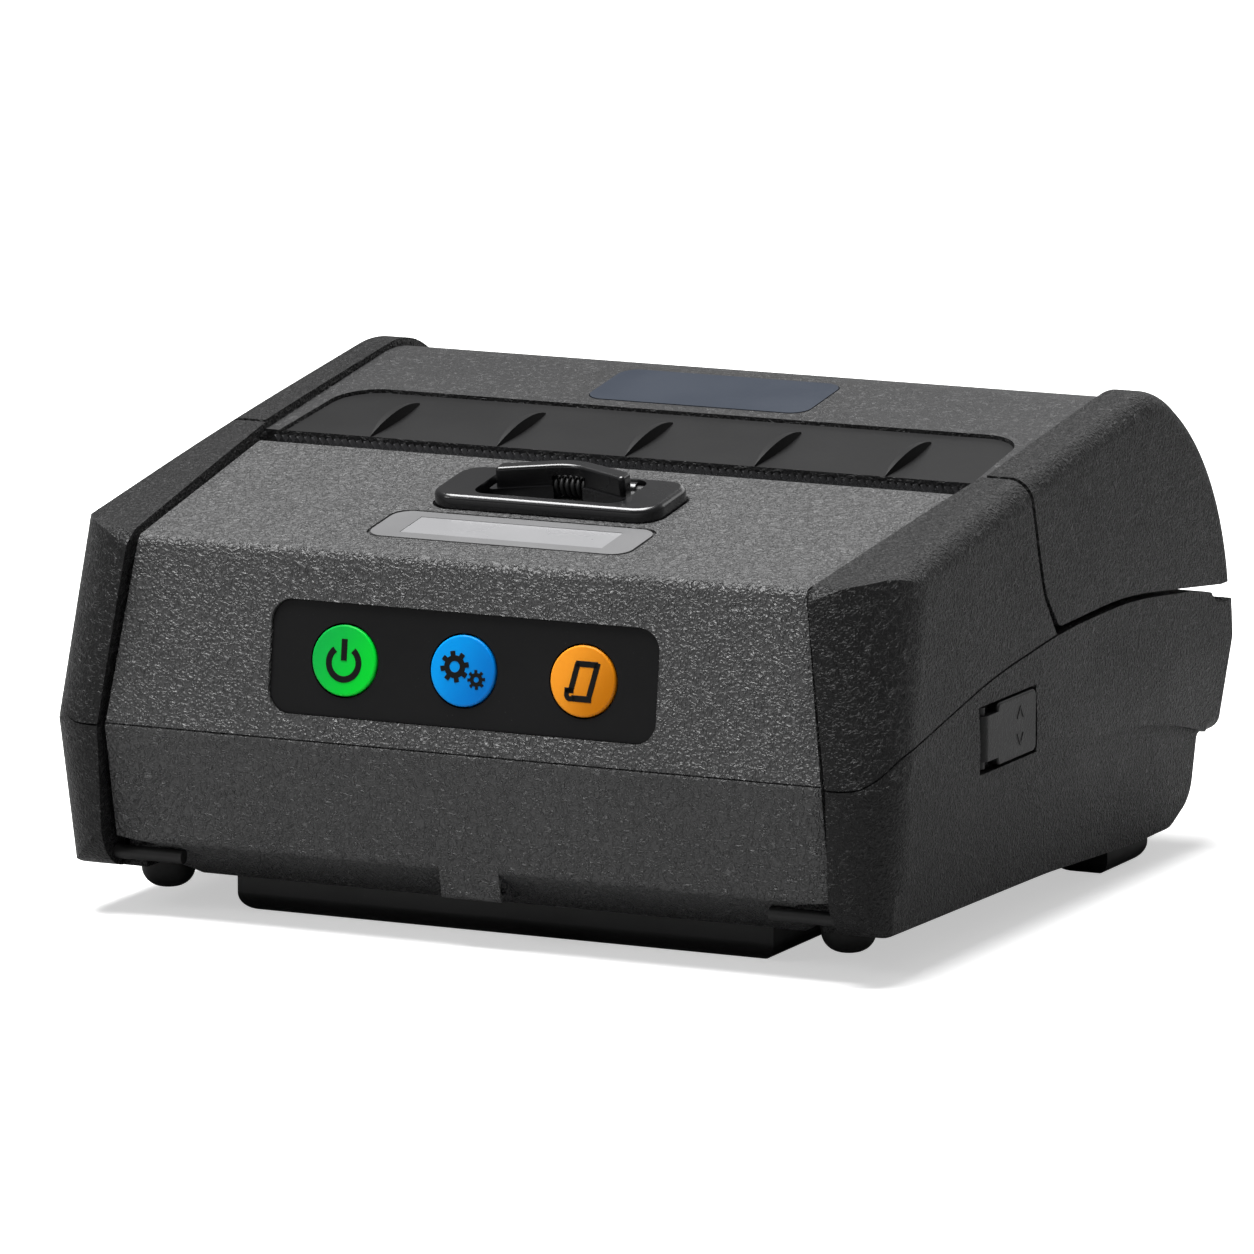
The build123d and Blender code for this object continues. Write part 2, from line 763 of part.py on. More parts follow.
CORNER = GUARD_CORNER - CORE_DROP
LID_PANEL_HALF = PANEL_HALF + 1.5
BAY_BACK = BATTERY_FRONT + BATTERY_DEEP
BAY_MID_Y = BATTERY_FRONT + BATTERY_DEEP / 2
BAY_TOP = BATTERY_TALL + BAY_GAP
BAY_CEILING = BAY_TOP + BAY_WALL
FLOOR_IN = FLOOR_Z + CORE_DROP + WALL
SIDE_FLOOR_IN = FLOOR_Z + BELLY_RISE + WALL
BOARD_Z = BAY_CEILING + STANDOFF
BUTT = 0.1


def lower_core(inset, half, corner, drop):
    with BuildPart() as block:
        add(core_block(lower_panel, inset, half, corner))
        extrude(belly_view(SIDE, drop), amount=DEPTH + 2 * OVER, mode=Mode.INTERSECT)
    return block.part


def lower_panels(grow=0.0):
    half = PANEL_HALF + grow
    with BuildPart() as block:
        extrude(lower_panel(-half), amount=2 * half)
        with BuildSketch(Plane.XY.offset(-5)):
            with Locations((0, FRONT + LIP_BACK / 2 + 1), (0, BACK - LEDGE_BACK)):
                Rectangle(WIDTH, LIP_BACK + 4)
        extrude(amount=100, mode=Mode.INTERSECT)
        extrude(belly_view(SIDE), amount=DEPTH + 2 * OVER, mode=Mode.INTERSECT)
    return block.part


# Space between the lower guards in front of the front panel and behind the rear one
def panel_rooms():
    with BuildPart() as block:
        with Locations((0, FRONT - OVER, NOTCH_TOP_Z)):
            Box(2 * (PANEL_HALF + GROOVE), OVER + NOTCH_DEEP, ABOVE - NOTCH_TOP_Z,
                align=(Align.CENTER, Align.MIN, Align.MIN))
        with Locations((0, BACK + OVER, LEDGE_Z)):
            Box(2 * (PANEL_HALF + GROOVE), OVER + 2 * LEDGE_BACK, ABOVE - LEDGE_Z,
                align=(Align.CENTER, Align.MAX, Align.MIN))
    return block.part


# Notch in the lower corner of the front panel, where a strap can be tied
def strap_notch(side):
    with BuildPart() as block:
        extrude(
            outline(
                Plane.XZ.offset(-FRONT + OVER),
                [
                    (side * (LIP_HALF + 0.4), BELOW),
                    (side * (LIP_HALF + 1.2), FLOOR_Z + 1.8),
                    (side * (LIP_HALF + NOTCH_SLANT), NOTCH_TOP_Z),
                    (side * (PANEL_HALF + GROOVE), PANEL_FOOT_Z + 0.6),
                    (side * (PANEL_HALF + GROOVE), BELOW),
                ],
                [0, NOTCH_ROUND, NOTCH_ROUND, 0, 0],
            ),
            amount=-OVER - NOTCH_DEEP,
        )
    return block.part


def posts():
    return [
        (side * POST_X, y) for side in (-1, 1) for y in (POST_FRONT_Y, POST_REAR_Y)
    ]


# Lower case: a tub with a front and a rear panel between the guards
with BuildPart() as base_shell:
    add(lower_core(CORE_DROP, CORE_HALF, CORNER, 0))
    add(lower_panels())
    add(lower_core(CORE_DROP + WALL, ROOM_HALF, CORNER - WALL, WALL), mode=Mode.SUBTRACT)
    # battery bay
    with Locations((0, BAY_MID_Y, FLOOR_Z + CORE_DROP)):
        Box(2 * (BATTERY_HALF + BAY_GAP + BAY_WALL), BATTERY_DEEP + 2 * (BAY_GAP + BAY_WALL),
            BAY_CEILING - FLOOR_Z - CORE_DROP, align=(Align.CENTER, Align.CENTER, Align.MIN))
    with Locations((0, BAY_MID_Y, -2)):
        Box(2 * (BATTERY_HALF + BAY_GAP), BATTERY_DEEP + 2 * BAY_GAP, BAY_TOP + 2,
            align=(Align.CENTER, Align.CENTER, Align.MIN), mode=Mode.SUBTRACT)
    with Locations((CONNECTOR_X, CONNECTOR_Y, BAY_TOP - 1)):
        Box(CONNECTOR_WIDE + 2 * SEAT, CONNECTOR_DEEP + 2 * SEAT, BAY_WALL + 4,
            align=(Align.CENTER, Align.CENTER, Align.MIN), mode=Mode.SUBTRACT)
    with Locations(*[(x, y, BAY_CEILING - 0.5) for x in BOARD_POSTS_X for y in BOARD_POSTS_Y]):
        Cylinder(STANDOFF_R, STANDOFF + 0.5, align=(Align.CENTER, Align.CENTER, Align.MIN))
    # screw posts
    with Locations(*[(x, y, POST_FOOT_Z) for x, y in posts()]):
        Cylinder(POST_R, POST_TOP_Z - POST_FOOT_Z,
                 align=(Align.CENTER, Align.CENTER, Align.MIN))
    with Locations(*[(x, y, 0) for x, y in posts()]):
        Cylinder(SCREW_R + SEAT, POST_TOP_Z + 1, align=(Align.CENTER, Align.CENTER, Align.MIN),
                 mode=Mode.SUBTRACT)
        Cylinder(SCREW_HEAD_R + SEAT, SCREW_SEAT_Z, align=(Align.CENTER, Align.CENTER, Align.MIN),
                 mode=Mode.SUBTRACT)
    # pinion boss
    with Locations((0, ROLL_Y, FLOOR_IN - 1)):
        Cylinder(PINION_BOSS_R, RACK_Z - SEAT - FLOOR_IN + 1, align=(Align.CENTER, Align.CENTER, Align.MIN))
        Cylinder(PIN_R, RACK_Z + RACK_FACE - FLOOR_IN + 1,
                 align=(Align.CENTER, Align.CENTER, Align.MIN))
    # rails under the two racks
    with Locations(*[(0, ROLL_Y + side * RAIL_Y, FLOOR_IN - 1) for side in (-1, 1)]):
        Box(2 * MEDIA_HALF, RAIL_WIDE, RACK_Z - RUNNING - FLOOR_IN + 1,
            align=(Align.CENTER, Align.CENTER, Align.MIN))
    extrude(lower_zone(-SIDE), amount=WIDTH, mode=Mode.INTERSECT)
    # tab in the middle of the front lip
    extrude(
        outline(
            Plane.YZ.offset(-TAB_HALF),
            [
                (FRONT + PANEL_FOOT_BACK - 0.1, PANEL_FOOT_Z + 0.5),
                (FRONT + PANEL_FOOT_BACK + 0.9, TAB_FOOT_Z),
                (FRONT + LIP_BACK - 3.5, TAB_FOOT_Z),
                (FRONT + PANEL_FOOT_BACK + 4, PANEL_FOOT_Z + 0.5),
            ],
            [0, 0.8, 0, 0],
        ),
        amount=2 * TAB_HALF,
    )
    # strap notches with a hole for each bar
    for side in (-1, 1):
        add(strap_notch(side), mode=Mode.SUBTRACT)
    with Locations((0, FRONT + STRAP_BAR_BACK, STRAP_BAR_Z)):
        Cylinder(STRAP_BAR_R + RUNNING, WIDTH - 2 * GUARD_SKIN, rotation=(0, 90, 0),
                 mode=Mode.SUBTRACT)
    # room behind the key panel
    with BuildSketch(front_plane(KEY_PANEL_Z, WALL)):
        Rectangle(2 * KEY_PANEL_HALF + 4, KEY_PANEL_TALL + 4)
    extrude(amount=-20, mode=Mode.SUBTRACT)
    # port opening
    with Locations((ROOM_HALF - 3, PORT_Y, PORT_Z)):
        Box(10, PORT_HOLE_DEEP, PORT_HOLE_TALL, align=(Align.MIN, Align.CENTER, Align.CENTER),
            mode=Mode.SUBTRACT)
    # front feet
    with Locations(*[(side * FRONT_FOOT_X, FRONT_FOOT_Y, 0) for side in (-1, 1)]):
        Cylinder(FRONT_FOOT_R + SEAT, FRONT_FOOT_TOP + SEAT,
                 align=(Align.CENTER, Align.CENTER, Align.MIN), mode=Mode.SUBTRACT)
    # hinge relief and knuckles
    with Locations((0, HINGE_Y, HINGE_Z)):
        Cylinder(HINGE_RELIEF_R, WIDTH, rotation=(0, 90, 0), mode=Mode.SUBTRACT)
    for side in (-1, 1):
        x = side * (LID_KNUCKLE_X + KNUCKLE_LONG * 1.5 + KNUCKLE_GAP)
        with Locations((x, HINGE_Y, HINGE_Z)):
            Cylinder(KNUCKLE_R, KNUCKLE_LONG, rotation=(0, 90, 0))
        with Locations((x, HINGE_Y, HINGE_Z)):
            Box(KNUCKLE_LONG, KNUCKLE_WEB, HINGE_Z - REAR_EDGE_Z + WEB_ROOT,
                align=(Align.CENTER, Align.CENTER, Align.MAX))
    with Locations((0, HINGE_Y, HINGE_Z)):
        Cylinder(HINGE_PIN_R, WIDTH, rotation=(0, 90, 0), mode=Mode.SUBTRACT)
base_shell.part.label = "base_shell"
export_step(base_shell.part, "parts/base_shell.step")


# Front view of both sides: leaning in above and below the seam, with the belly between
def sides_view(y, inset=0.0):
    half = SIDE_MEET - inset
    low = half - SIDE_UNDERCUT * (SEAM_Z - BELOW)
    high = half - SIDE_DRAFT * (ABOVE - SEAM_Z)
    return outline(
        Plane.XZ.offset(-y),
        [(-low, BELOW), (low, BELOW), (half, SEAM_Z), (high, ABOVE), (-high, ABOVE), (-half, SEAM_Z)],
        [0, 0, SIDE_BELLY, 0, 0, SIDE_BELLY],
    )


# Block of a right-hand guard: its outer rim is rounded while the side is still one leaning plane
def guard_block(side_view, inner, slope, rim_round, sharp_z, corners):
    with BuildPart() as block:
        extrude(side_view(inner), amount=SIDE + OVER - inner)
        extrude(
            outline(
                Plane.XZ.offset(FRONT - OVER),
                [
                    (0, BELOW),
                    (SIDE_MEET + slope * (BELOW - SEAM_Z), BELOW),
                    (SIDE_MEET + slope * (ABOVE - SEAM_Z), ABOVE),
                    (0, ABOVE),
                ],
            ),
            amount=DEPTH + 2 * OVER,
            mode=Mode.INTERSECT,
        )
        rim = []
        for edge in block.edges():
            spot = edge @ 0.5
            on_side = abs(spot.X - SIDE_MEET - slope * (spot.Z - SEAM_Z)) < 0.001
            if on_side and abs(spot.Z - sharp_z) > 0.5:
                rim.append(edge)
        fillet(rim, rim_round)
        add(corners, mode=Mode.INTERSECT)
        extrude(sides_view(BACK + OVER), amount=DEPTH + 2 * OVER, mode=Mode.INTERSECT)
    return block.part


# Recess under the crease, deeper towards the back
def crease_recess():
    lean_in = (CREASE_DEPTH - CREASE_START) / DEPTH
    with BuildPart() as block:
        extrude(
            outline(
                Plane.YZ.offset(CORE_HALF - 1),
                [
                    (FRONT - OVER, CREASE_FRONT_Z),
                    (CREASE_TOP_Y, CREASE_TOP_Z),
                    (BACK + OVER, CREASE_REAR_Z),
                    (BACK + OVER, BELOW),
                    (FRONT - OVER, BELOW),
                ],
                [0, CREASE_ROUND, 0, 0, 0],
            ),
            amount=GUARD_SKIN + 2,
        )
        extrude(sides_view(FRONT - 2, CREASE_START), amount=DEPTH + 4, dir=(-lean_in, 1, 0),
                mode=Mode.SUBTRACT)
    return block.part


# Side guards of the lower case, with the crease and the skirt
with BuildPart() as lower_guard_right:
    corners = corner_block(SIDE_MEET, FRONT, BACK, GUARD_CORNER, GUARD_REAR_CORNER,
                           draft=SIDE_DRAFT, lean=GUARD_LEAN, undercut=SIDE_UNDERCUT, skirt=SKIRT_LEAN)
    add(guard_block(lower_guard, BELLY_HALF, SIDE_UNDERCUT, SKIRT_ROUND, RIDGE_Z, corners))
    add(lower_core(CORE_DROP - SEAT, CORE_HALF + SEAT, CORNER, -SEAT), mode=Mode.SUBTRACT)
    add(lower_panels(GROOVE), mode=Mode.SUBTRACT)
    add(panel_rooms(), mode=Mode.SUBTRACT)
    add(strap_notch(1), mode=Mode.SUBTRACT)
    extrude(lower_zone(-SIDE - OVER), amount=WIDTH + 2 * OVER, mode=Mode.INTERSECT)
    add(crease_recess(), mode=Mode.SUBTRACT)
    with Locations((FRONT_FOOT_X, FRONT_FOOT_Y, 0)):
        Cylinder(FRONT_FOOT_R + SEAT, FRONT_FOOT_TOP + SEAT,
                 align=(Align.CENTER, Align.CENTER, Align.MIN), mode=Mode.SUBTRACT)
    with Locations((REAR_FOOT_X, REAR_FOOT_Y, 0)):
        Box(REAR_FOOT_WIDE + 2 * SEAT, REAR_FOOT_LONG + 2 * SEAT, REAR_FOOT_TOP + SEAT,
            align=(Align.CENTER, Align.CENTER, Align.MIN), mode=Mode.SUBTRACT)
    with Locations((0, FRONT + STRAP_BAR_BACK, STRAP_BAR_Z)):
        Cylinder(STRAP_BAR_R + RUNNING, 2 * STRAP_BAR_END, rotation=(0, 90, 0), mode=Mode.SUBTRACT)
    with Locations((0, HINGE_Y, HINGE_Z)):
        Cylinder(HINGE_RELIEF_R, 2 * WIDTH, rotation=(0, 90, 0), mode=Mode.SUBTRACT)

with BuildPart() as lower_guard_left:
    mirror(lower_guard_right.part, about=Plane.YZ)
lower_guard_left.part.label = "lower_guard_left"
export_step(lower_guard_left.part, "parts/lower_guard_left.step")

# Right guard only: port opening, pocket for the rubber flap and its hinge pin
with BuildPart() as right_guard_ports:
    add(lower_guard_right.part)
    rear_y = PORT_Y + PORT_DEEP / 2 + FLAP_MARGIN
    with Locations((SIDE - FLAP_THICK - BUTT, rear_y - POCKET_LONG / 2, PORT_Z)):
        Box(10, POCKET_LONG, PORT_TALL + 2 * FLAP_MARGIN, mode=Mode.SUBTRACT,
            align=(Align.MIN, Align.CENTER, Align.CENTER))
    with Locations((ROOM_HALF, PORT_Y, PORT_Z)):
        Box(20, PORT_HOLE_DEEP, PORT_HOLE_TALL, align=(Align.MIN, Align.CENTER, Align.CENTER),
            mode=Mode.SUBTRACT)
    with Locations((FLAP_PIN_X, FLAP_PIN_Y, PORT_Z)):
        Cylinder(FLAP_BARREL_R + MOVING, FLAP_BARREL_TALL + 2 * MOVING, mode=Mode.SUBTRACT)
        Cylinder(FLAP_PIN_R, FLAP_PIN_TALL + 2 * RUNNING, mode=Mode.SUBTRACT)
right_guard_ports.part.label = "lower_guard_right"
export_step(right_guard_ports.part, "parts/lower_guard_right.step")

# Front cover: front wall and roof between the guards, on a core that carries the guards
with BuildPart() as upper_shell:
    add(core_block(upper_panel, CORE_DROP, CORE_HALF, CORNER))
    add(panel_block(front_room()))
    add(panel_block(roof_room()))
    add(core_block(upper_panel, CORE_DROP + WALL, ROOM_HALF, CORNER - WALL), mode=Mode.SUBTRACT)
    add(lid_block(RIDGE_HALF - WALL, WALL), mode=Mode.SUBTRACT)
    with Locations(*[(side * POST_X, POST_FRONT_Y, POST_TOP_Z + SEAT) for side in (-1, 1)]):
        Cylinder(POST_R, roof_z(POST_FRONT_Y) - CORE_DROP - 1 - POST_TOP_Z,
                 align=(Align.CENTER, Align.CENTER, Align.MIN))
    add(cover_zone(), mode=Mode.INTERSECT)
    with Locations(*[(side * POST_X, POST_FRONT_Y, POST_TOP_Z + SEAT) for side in (-1, 1)]):
        Cylinder(POST_R, SLOT_FLOOR_Z + 8 - POST_TOP_Z,
                 align=(Align.CENTER, Align.CENTER, Align.MIN))
        Cylinder(SCREW_R + RUNNING, SCREW_BITE + 1, align=(Align.CENTER, Align.CENTER, Align.MIN),
                 mode=Mode.SUBTRACT)
    # paper slot
    with Locations((0, TEAR_Y - SLOT_WIDTH, SLOT_FLOOR_Z)):
        Box(2 * (PANEL_HALF + GROOVE), 3 * SLOT_WIDTH, 40, mode=Mode.SUBTRACT,
            align=(Align.CENTER, Align.MIN, Align.MIN))
    # key panel opening
    with BuildSketch(front_plane(KEY_PANEL_Z, -1)):
        RectangleRounded(2 * KEY_PANEL_HALF, KEY_PANEL_TALL, KEY_PANEL_ROUND)
    extrude(amount=-1 - CORE_DROP - 2 * WALL, mode=Mode.SUBTRACT)
    # display pocket and opening
    with BuildSketch(roof_plane(FILM_Y, FILM_THICK + 0.05)):
        RectangleRounded(2 * FILM_HALF + 2 * FILM_GAP, FILM_DEEP + 2 * FILM_GAP, FILM_ROUND)
    extrude(amount=5, mode=Mode.SUBTRACT)
    with BuildSketch(roof_plane(FILM_Y)):
        Rectangle(2 * WINDOW_HALF - 2, WINDOW_DEEP - 2)
    extrude(amount=-2 * WALL, mode=Mode.SUBTRACT)
    # latch pocket and leg slots
    with BuildSketch(roof_plane(LATCH_Y, LATCH_SUNK, LATCH_X)):
        RectangleRounded(2 * LATCH_HALF + 2 * MOVING, LATCH_DEEP + 2 * MOVING, LATCH_ROUND)
    extrude(amount=5, mode=Mode.SUBTRACT)
    with BuildSketch(roof_plane(LATCH_Y, 0, LATCH_X)):
        with Locations(*[(side * LEG_X, LEG_SLOT_MID) for side in (-1, 1)]):
            RectangleRounded(LEG_WIDE + 2 * MOVING, LEG_SLOT_LONG, LEG_SLOT_ROUND)
    extrude(amount=-2 * WALL, mode=Mode.SUBTRACT)
upper_shell.part.label = "upper_shell"
export_step(upper_shell.part, "parts/upper_shell.step")


# Side guards of the front cover
upper_corners = corner_block(SIDE_MEET, FRONT, BACK + 5, GUARD_CORNER, 0, draft=SIDE_DRAFT,
                             lean=GUARD_LEAN)
with BuildPart() as upper_guard_right:
    add(guard_block(upper_guard, RIDGE_HALF - 1, -SIDE_DRAFT, GUARD_ROUND, FLOOR_Z, upper_corners))
    add(core_block(upper_panel, CORE_DROP - SEAT, CORE_HALF + SEAT, CORNER), mode=Mode.SUBTRACT)
    add(front_room(GROOVE), mode=Mode.SUBTRACT)
    add(roof_room(GROOVE), mode=Mode.SUBTRACT)
    add(cover_zone(), mode=Mode.INTERSECT)
with BuildPart() as upper_guard_left:
    mirror(upper_guard_right.part, about=Plane.YZ)
upper_guard_right.part.label = "upper_guard_right"
export_step(upper_guard_right.part, "parts/upper_guard_right.step")
upper_guard_left.part.label = "upper_guard_left"
export_step(upper_guard_left.part, "parts/upper_guard_left.step")

# Side guards of the lid
with BuildPart() as lid_guard_right:
    add(guard_block(upper_guard, LID_PANEL_HALF + BUTT, -SIDE_DRAFT, GUARD_ROUND, FLOOR_Z,
                    upper_corners))
    add(core_block(upper_panel, CORE_DROP - SEAT, CORE_HALF + SEAT, CORNER), mode=Mode.SUBTRACT)
    extrude(lid_zone(-SIDE - OVER), amount=WIDTH + 2 * OVER, mode=Mode.INTERSECT)
with BuildPart() as lid_guard_left:
    mirror(lid_guard_right.part, about=Plane.YZ)
lid_guard_right.part.label = "lid_guard_right"
export_step(lid_guard_right.part, "parts/lid_guard_right.step")
lid_guard_left.part.label = "lid_guard_left"
export_step(lid_guard_left.part, "parts/lid_guard_left.step")

# Space of the exit guide: from the tear bar back to its rounded rear corners, down to a depth
def exit_guide_block(shrink, depth):
    front_y = TEAR_Y + TEAR_THICK + shrink
    with BuildPart() as block:
        with BuildSketch(roof_plane(0, depth)):
            with BuildLine():
                FilletPolyline(
                    (-GUIDE_FRONT_HALF + shrink, front_y - 3 * (shrink < 0)),
                    (GUIDE_FRONT_HALF - shrink, front_y - 3 * (shrink < 0)),
                    (GUIDE_BACK_HALF - shrink, GUIDE_BACK_Y - shrink),
                    (-GUIDE_BACK_HALF + shrink, GUIDE_BACK_Y - shrink),
                    radius=[0, 0, GUIDE_ROUND, GUIDE_ROUND],
                    close=True,
                )
            make_face()
        extrude(amount=depth + 3)
    return block.part


# Webs that tie the lid's two knuckles to its back, kept inside the panel's outline
def lid_webs():
    with BuildPart() as block:
        for side in (-1, 1):
            with Locations((side * (LID_KNUCKLE_X + KNUCKLE_LONG / 2), HINGE_Y, HINGE_Z)):
                Box(KNUCKLE_LONG, 2 * KNUCKLE_R, 2.4 * KNUCKLE_R,
                    align=(Align.CENTER, Align.CENTER, Align.MIN))
        extrude(upper_panel(-SIDE), amount=WIDTH, mode=Mode.INTERSECT)
    return block.part


# Lid: roof, back and side cores, with the pockets for what lies on it
with BuildPart() as lid_shell:
    add(core_block(upper_panel, CORE_DROP, CORE_HALF, CORNER))
    add(lid_block(LID_PANEL_HALF))
    add(core_block(upper_panel, CORE_DROP + WALL, ROOM_HALF, CORNER - WALL), mode=Mode.SUBTRACT)
    add(lid_block(LID_PANEL_HALF - WALL, WALL), mode=Mode.SUBTRACT)
    add(lid_webs())
    extrude(lid_zone(-SIDE - OVER), amount=WIDTH + 2 * OVER, mode=Mode.INTERSECT)
    for side in (-1, 1):
        x = side * (LID_KNUCKLE_X + KNUCKLE_LONG / 2)
        with Locations((x, HINGE_Y, HINGE_Z)):
            Cylinder(KNUCKLE_R, KNUCKLE_LONG, rotation=(0, 90, 0))
        x = side * (LID_KNUCKLE_X + KNUCKLE_LONG * 1.5 + KNUCKLE_GAP)
        with Locations((x, HINGE_Y, HINGE_Z)):
            Cylinder(KNUCKLE_R + 2 * MOVING, KNUCKLE_LONG + 2 * KNUCKLE_GAP, rotation=(0, 90, 0),
                     mode=Mode.SUBTRACT)
            Box(KNUCKLE_LONG + 2 * KNUCKLE_GAP, 2 * KNUCKLE_R + 4 * MOVING, 3 * KNUCKLE_R,
                align=(Align.CENTER, Align.CENTER, Align.MAX), mode=Mode.SUBTRACT)
    with Locations((0, HINGE_Y, HINGE_Z)):
        Cylinder(HINGE_PIN_R + RUNNING, WIDTH, rotation=(0, 90, 0), mode=Mode.SUBTRACT)
    # step at the front edge for the tear bar
    with Locations((0, TEAR_Y - 10, SLOT_FLOOR_Z)):
        Box(2 * (PANEL_HALF + BUTT), 10 + TEAR_THICK + BUTT, 40, mode=Mode.SUBTRACT,
            align=(Align.CENTER, Align.MIN, Align.MIN))
    # pocket for the exit guide
    add(exit_guide_block(0.0, GUIDE_DEPTH + GUIDE_PLATE + 0.05), mode=Mode.SUBTRACT)
    # pocket for the label plate
    with BuildSketch(roof_plane(PLATE_Y, PLATE_SUNK)):
        RectangleRounded(2 * PLATE_HALF + 2 * BUTT, PLATE_DEEP + 2 * BUTT, PLATE_ROUND)
    extrude(amount=5, mode=Mode.SUBTRACT)
lid_shell.part.label = "lid_shell"
export_step(lid_shell.part, "parts/lid_shell.step")

# Space below a shallow arc, so that the fins' tops fall away towards both ends
def fin_space():
    with BuildPart() as block:
        with BuildSketch(Plane.YZ.offset(-PANEL_HALF)):
            with BuildLine():
                low = roof_plane(FIN_Y - FIN_LONG / 2, GUIDE_DEPTH - 0.2).origin
                top = roof_plane(FIN_Y, GUIDE_DEPTH - FIN_TALL).origin
                end = roof_plane(FIN_Y + FIN_LONG / 2, GUIDE_DEPTH - 0.2).origin
                ThreePointArc((low.Y, low.Z), (top.Y, top.Z), (end.Y, end.Z))
                Polyline((end.Y, end.Z), (BACK, end.Z), (BACK, SEAM_Z), (FRONT, SEAM_Z),
                         (FRONT, low.Z), (low.Y, low.Z))
            make_face()
        extrude(amount=2 * PANEL_HALF)
    return block.part


def exit_plate():
    with BuildPart() as block:
        add(exit_guide_block(SEAT, GUIDE_DEPTH + GUIDE_PLATE))
        add(exit_guide_block(-1, GUIDE_DEPTH), mode=Mode.SUBTRACT)
    return block.part


# Exit guide: a smooth plate sunk in the lid, with five thin fins that steer the paper
with BuildPart() as exit_guide:
    for index in range(FIN_COUNT):
        x = (index - (FIN_COUNT - 1) / 2) * FIN_PITCH
        with BuildSketch(roof_plane(FIN_Y, GUIDE_DEPTH + GUIDE_PLATE / 2)):
            with BuildLine():
                ThreePointArc((x, -FIN_LONG / 2), (x + FIN_THICK / 2, 0), (x, FIN_LONG / 2))
                ThreePointArc((x, FIN_LONG / 2), (x - FIN_THICK / 2, 0), (x, -FIN_LONG / 2))
            make_face()
        extrude(amount=FIN_TALL + GUIDE_PLATE / 2)
    add(fin_space(), mode=Mode.INTERSECT)
    add(exit_plate())
exit_guide.part.label = "exit_guide"
export_step(exit_guide.part, "parts/exit_guide.step")

# Label plate, left bare
with BuildPart() as label_plate:
    with BuildSketch(roof_plane(PLATE_Y, PLATE_SUNK)):
        RectangleRounded(2 * PLATE_HALF, PLATE_DEEP, PLATE_ROUND)
    extrude(amount=PLATE_THICK)
label_plate.part.label = "label_plate"
export_step(label_plate.part, "parts/label_plate.step")

# Tear bar: a toothed steel strip along the lid's front edge
with BuildPart() as tear_bar:
    half = PANEL_HALF - BUTT
    count = int(2 * half / TOOTH_PITCH)
    start = -count * TOOTH_PITCH / 2
    base_z = roof_z(TEAR_Y) - TOOTH_TALL - 0.3
    teeth = []
    for index in range(count):
        teeth.append((start + index * TOOTH_PITCH, base_z))
        teeth.append((start + (index + 0.5) * TOOTH_PITCH, base_z + TOOTH_TALL))
    with BuildSketch(Plane.XZ.offset(-TEAR_Y)):
        Polygon((-half, base_z - TEAR_TALL), (half, base_z - TEAR_TALL), (half, base_z),
                *reversed(teeth[1:]), (-half, base_z), align=None)
    extrude(amount=-TEAR_THICK)
tear_bar.part.label = "tear_bar"
export_step(tear_bar.part, "parts/tear_bar.step")

# Key bezel: recessed plate with three round holes, a rear flange and four board posts
FLANGE_DEPTH = WALL + SEAT
with BuildPart() as key_bezel:
    with BuildSketch(front_plane(KEY_PANEL_Z, KEY_RECESS)):
        RectangleRounded(2 * KEY_PANEL_HALF - 2 * BUTT, KEY_PANEL_TALL - 2 * BUTT, KEY_PANEL_ROUND)
    extrude(amount=KEY_RECESS - FLANGE_DEPTH)
    with BuildSketch(front_plane(KEY_PANEL_Z, FLANGE_DEPTH)):
        RectangleRounded(2 * KEY_PANEL_HALF + 3, KEY_PANEL_TALL + 3, KEY_PANEL_ROUND)
    extrude(amount=-KEY_RIM)
    with BuildSketch(front_plane(KEY_PANEL_Z, FLANGE_DEPTH)):
        with GridLocations(2 * KEY_POST_X, 2 * KEY_POST_Z, 2, 2):
            Circle(1.5)
    extrude(amount=FLANGE_DEPTH - KEY_BOARD_DEPTH + BUTT)
    with BuildSketch(front_plane(KEY_PANEL_Z)):
        with GridLocations(KEY_PITCH, 1, 3, 1):
            Circle(KEY_R + MOVING)
    extrude(amount=-20, mode=Mode.SUBTRACT)
key_bezel.part.label = "key_bezel"
export_step(key_bezel.part, "parts/key_bezel.step")

# Three keys: domed cap, retaining flange and a stem that presses its switch
key_names = ("power_button", "menu_button", "feed_button")
for index, name in enumerate(key_names):
    with BuildPart() as button:
        with BuildSketch(front_plane(KEY_PANEL_Z, KEY_FLANGE_DEPTH)):
            with Locations(((index - 1) * KEY_PITCH, 0)):
                Circle(KEY_R)
        extrude(amount=KEY_FLANGE_DEPTH - KEY_RECESS + KEY_PROUD)
        cap = button.faces().sort_by(Axis.Y)[0]
        fillet(cap.edges(), KEY_ROUND)
        with BuildSketch(front_plane(KEY_PANEL_Z, KEY_FLANGE_DEPTH)):
            with Locations(((index - 1) * KEY_PITCH, 0)):
                Circle(KEY_R + 1)
        extrude(amount=-KEY_FLANGE)
        with BuildSketch(front_plane(KEY_PANEL_Z, KEY_FLANGE_DEPTH)):
            with Locations(((index - 1) * KEY_PITCH, 0)):
                Circle(KEY_STEM_R)
        extrude(amount=-KEY_FLANGE - KEY_STEM)
    button.part.label = name
    export_step(button.part, "parts/" + name + ".step")

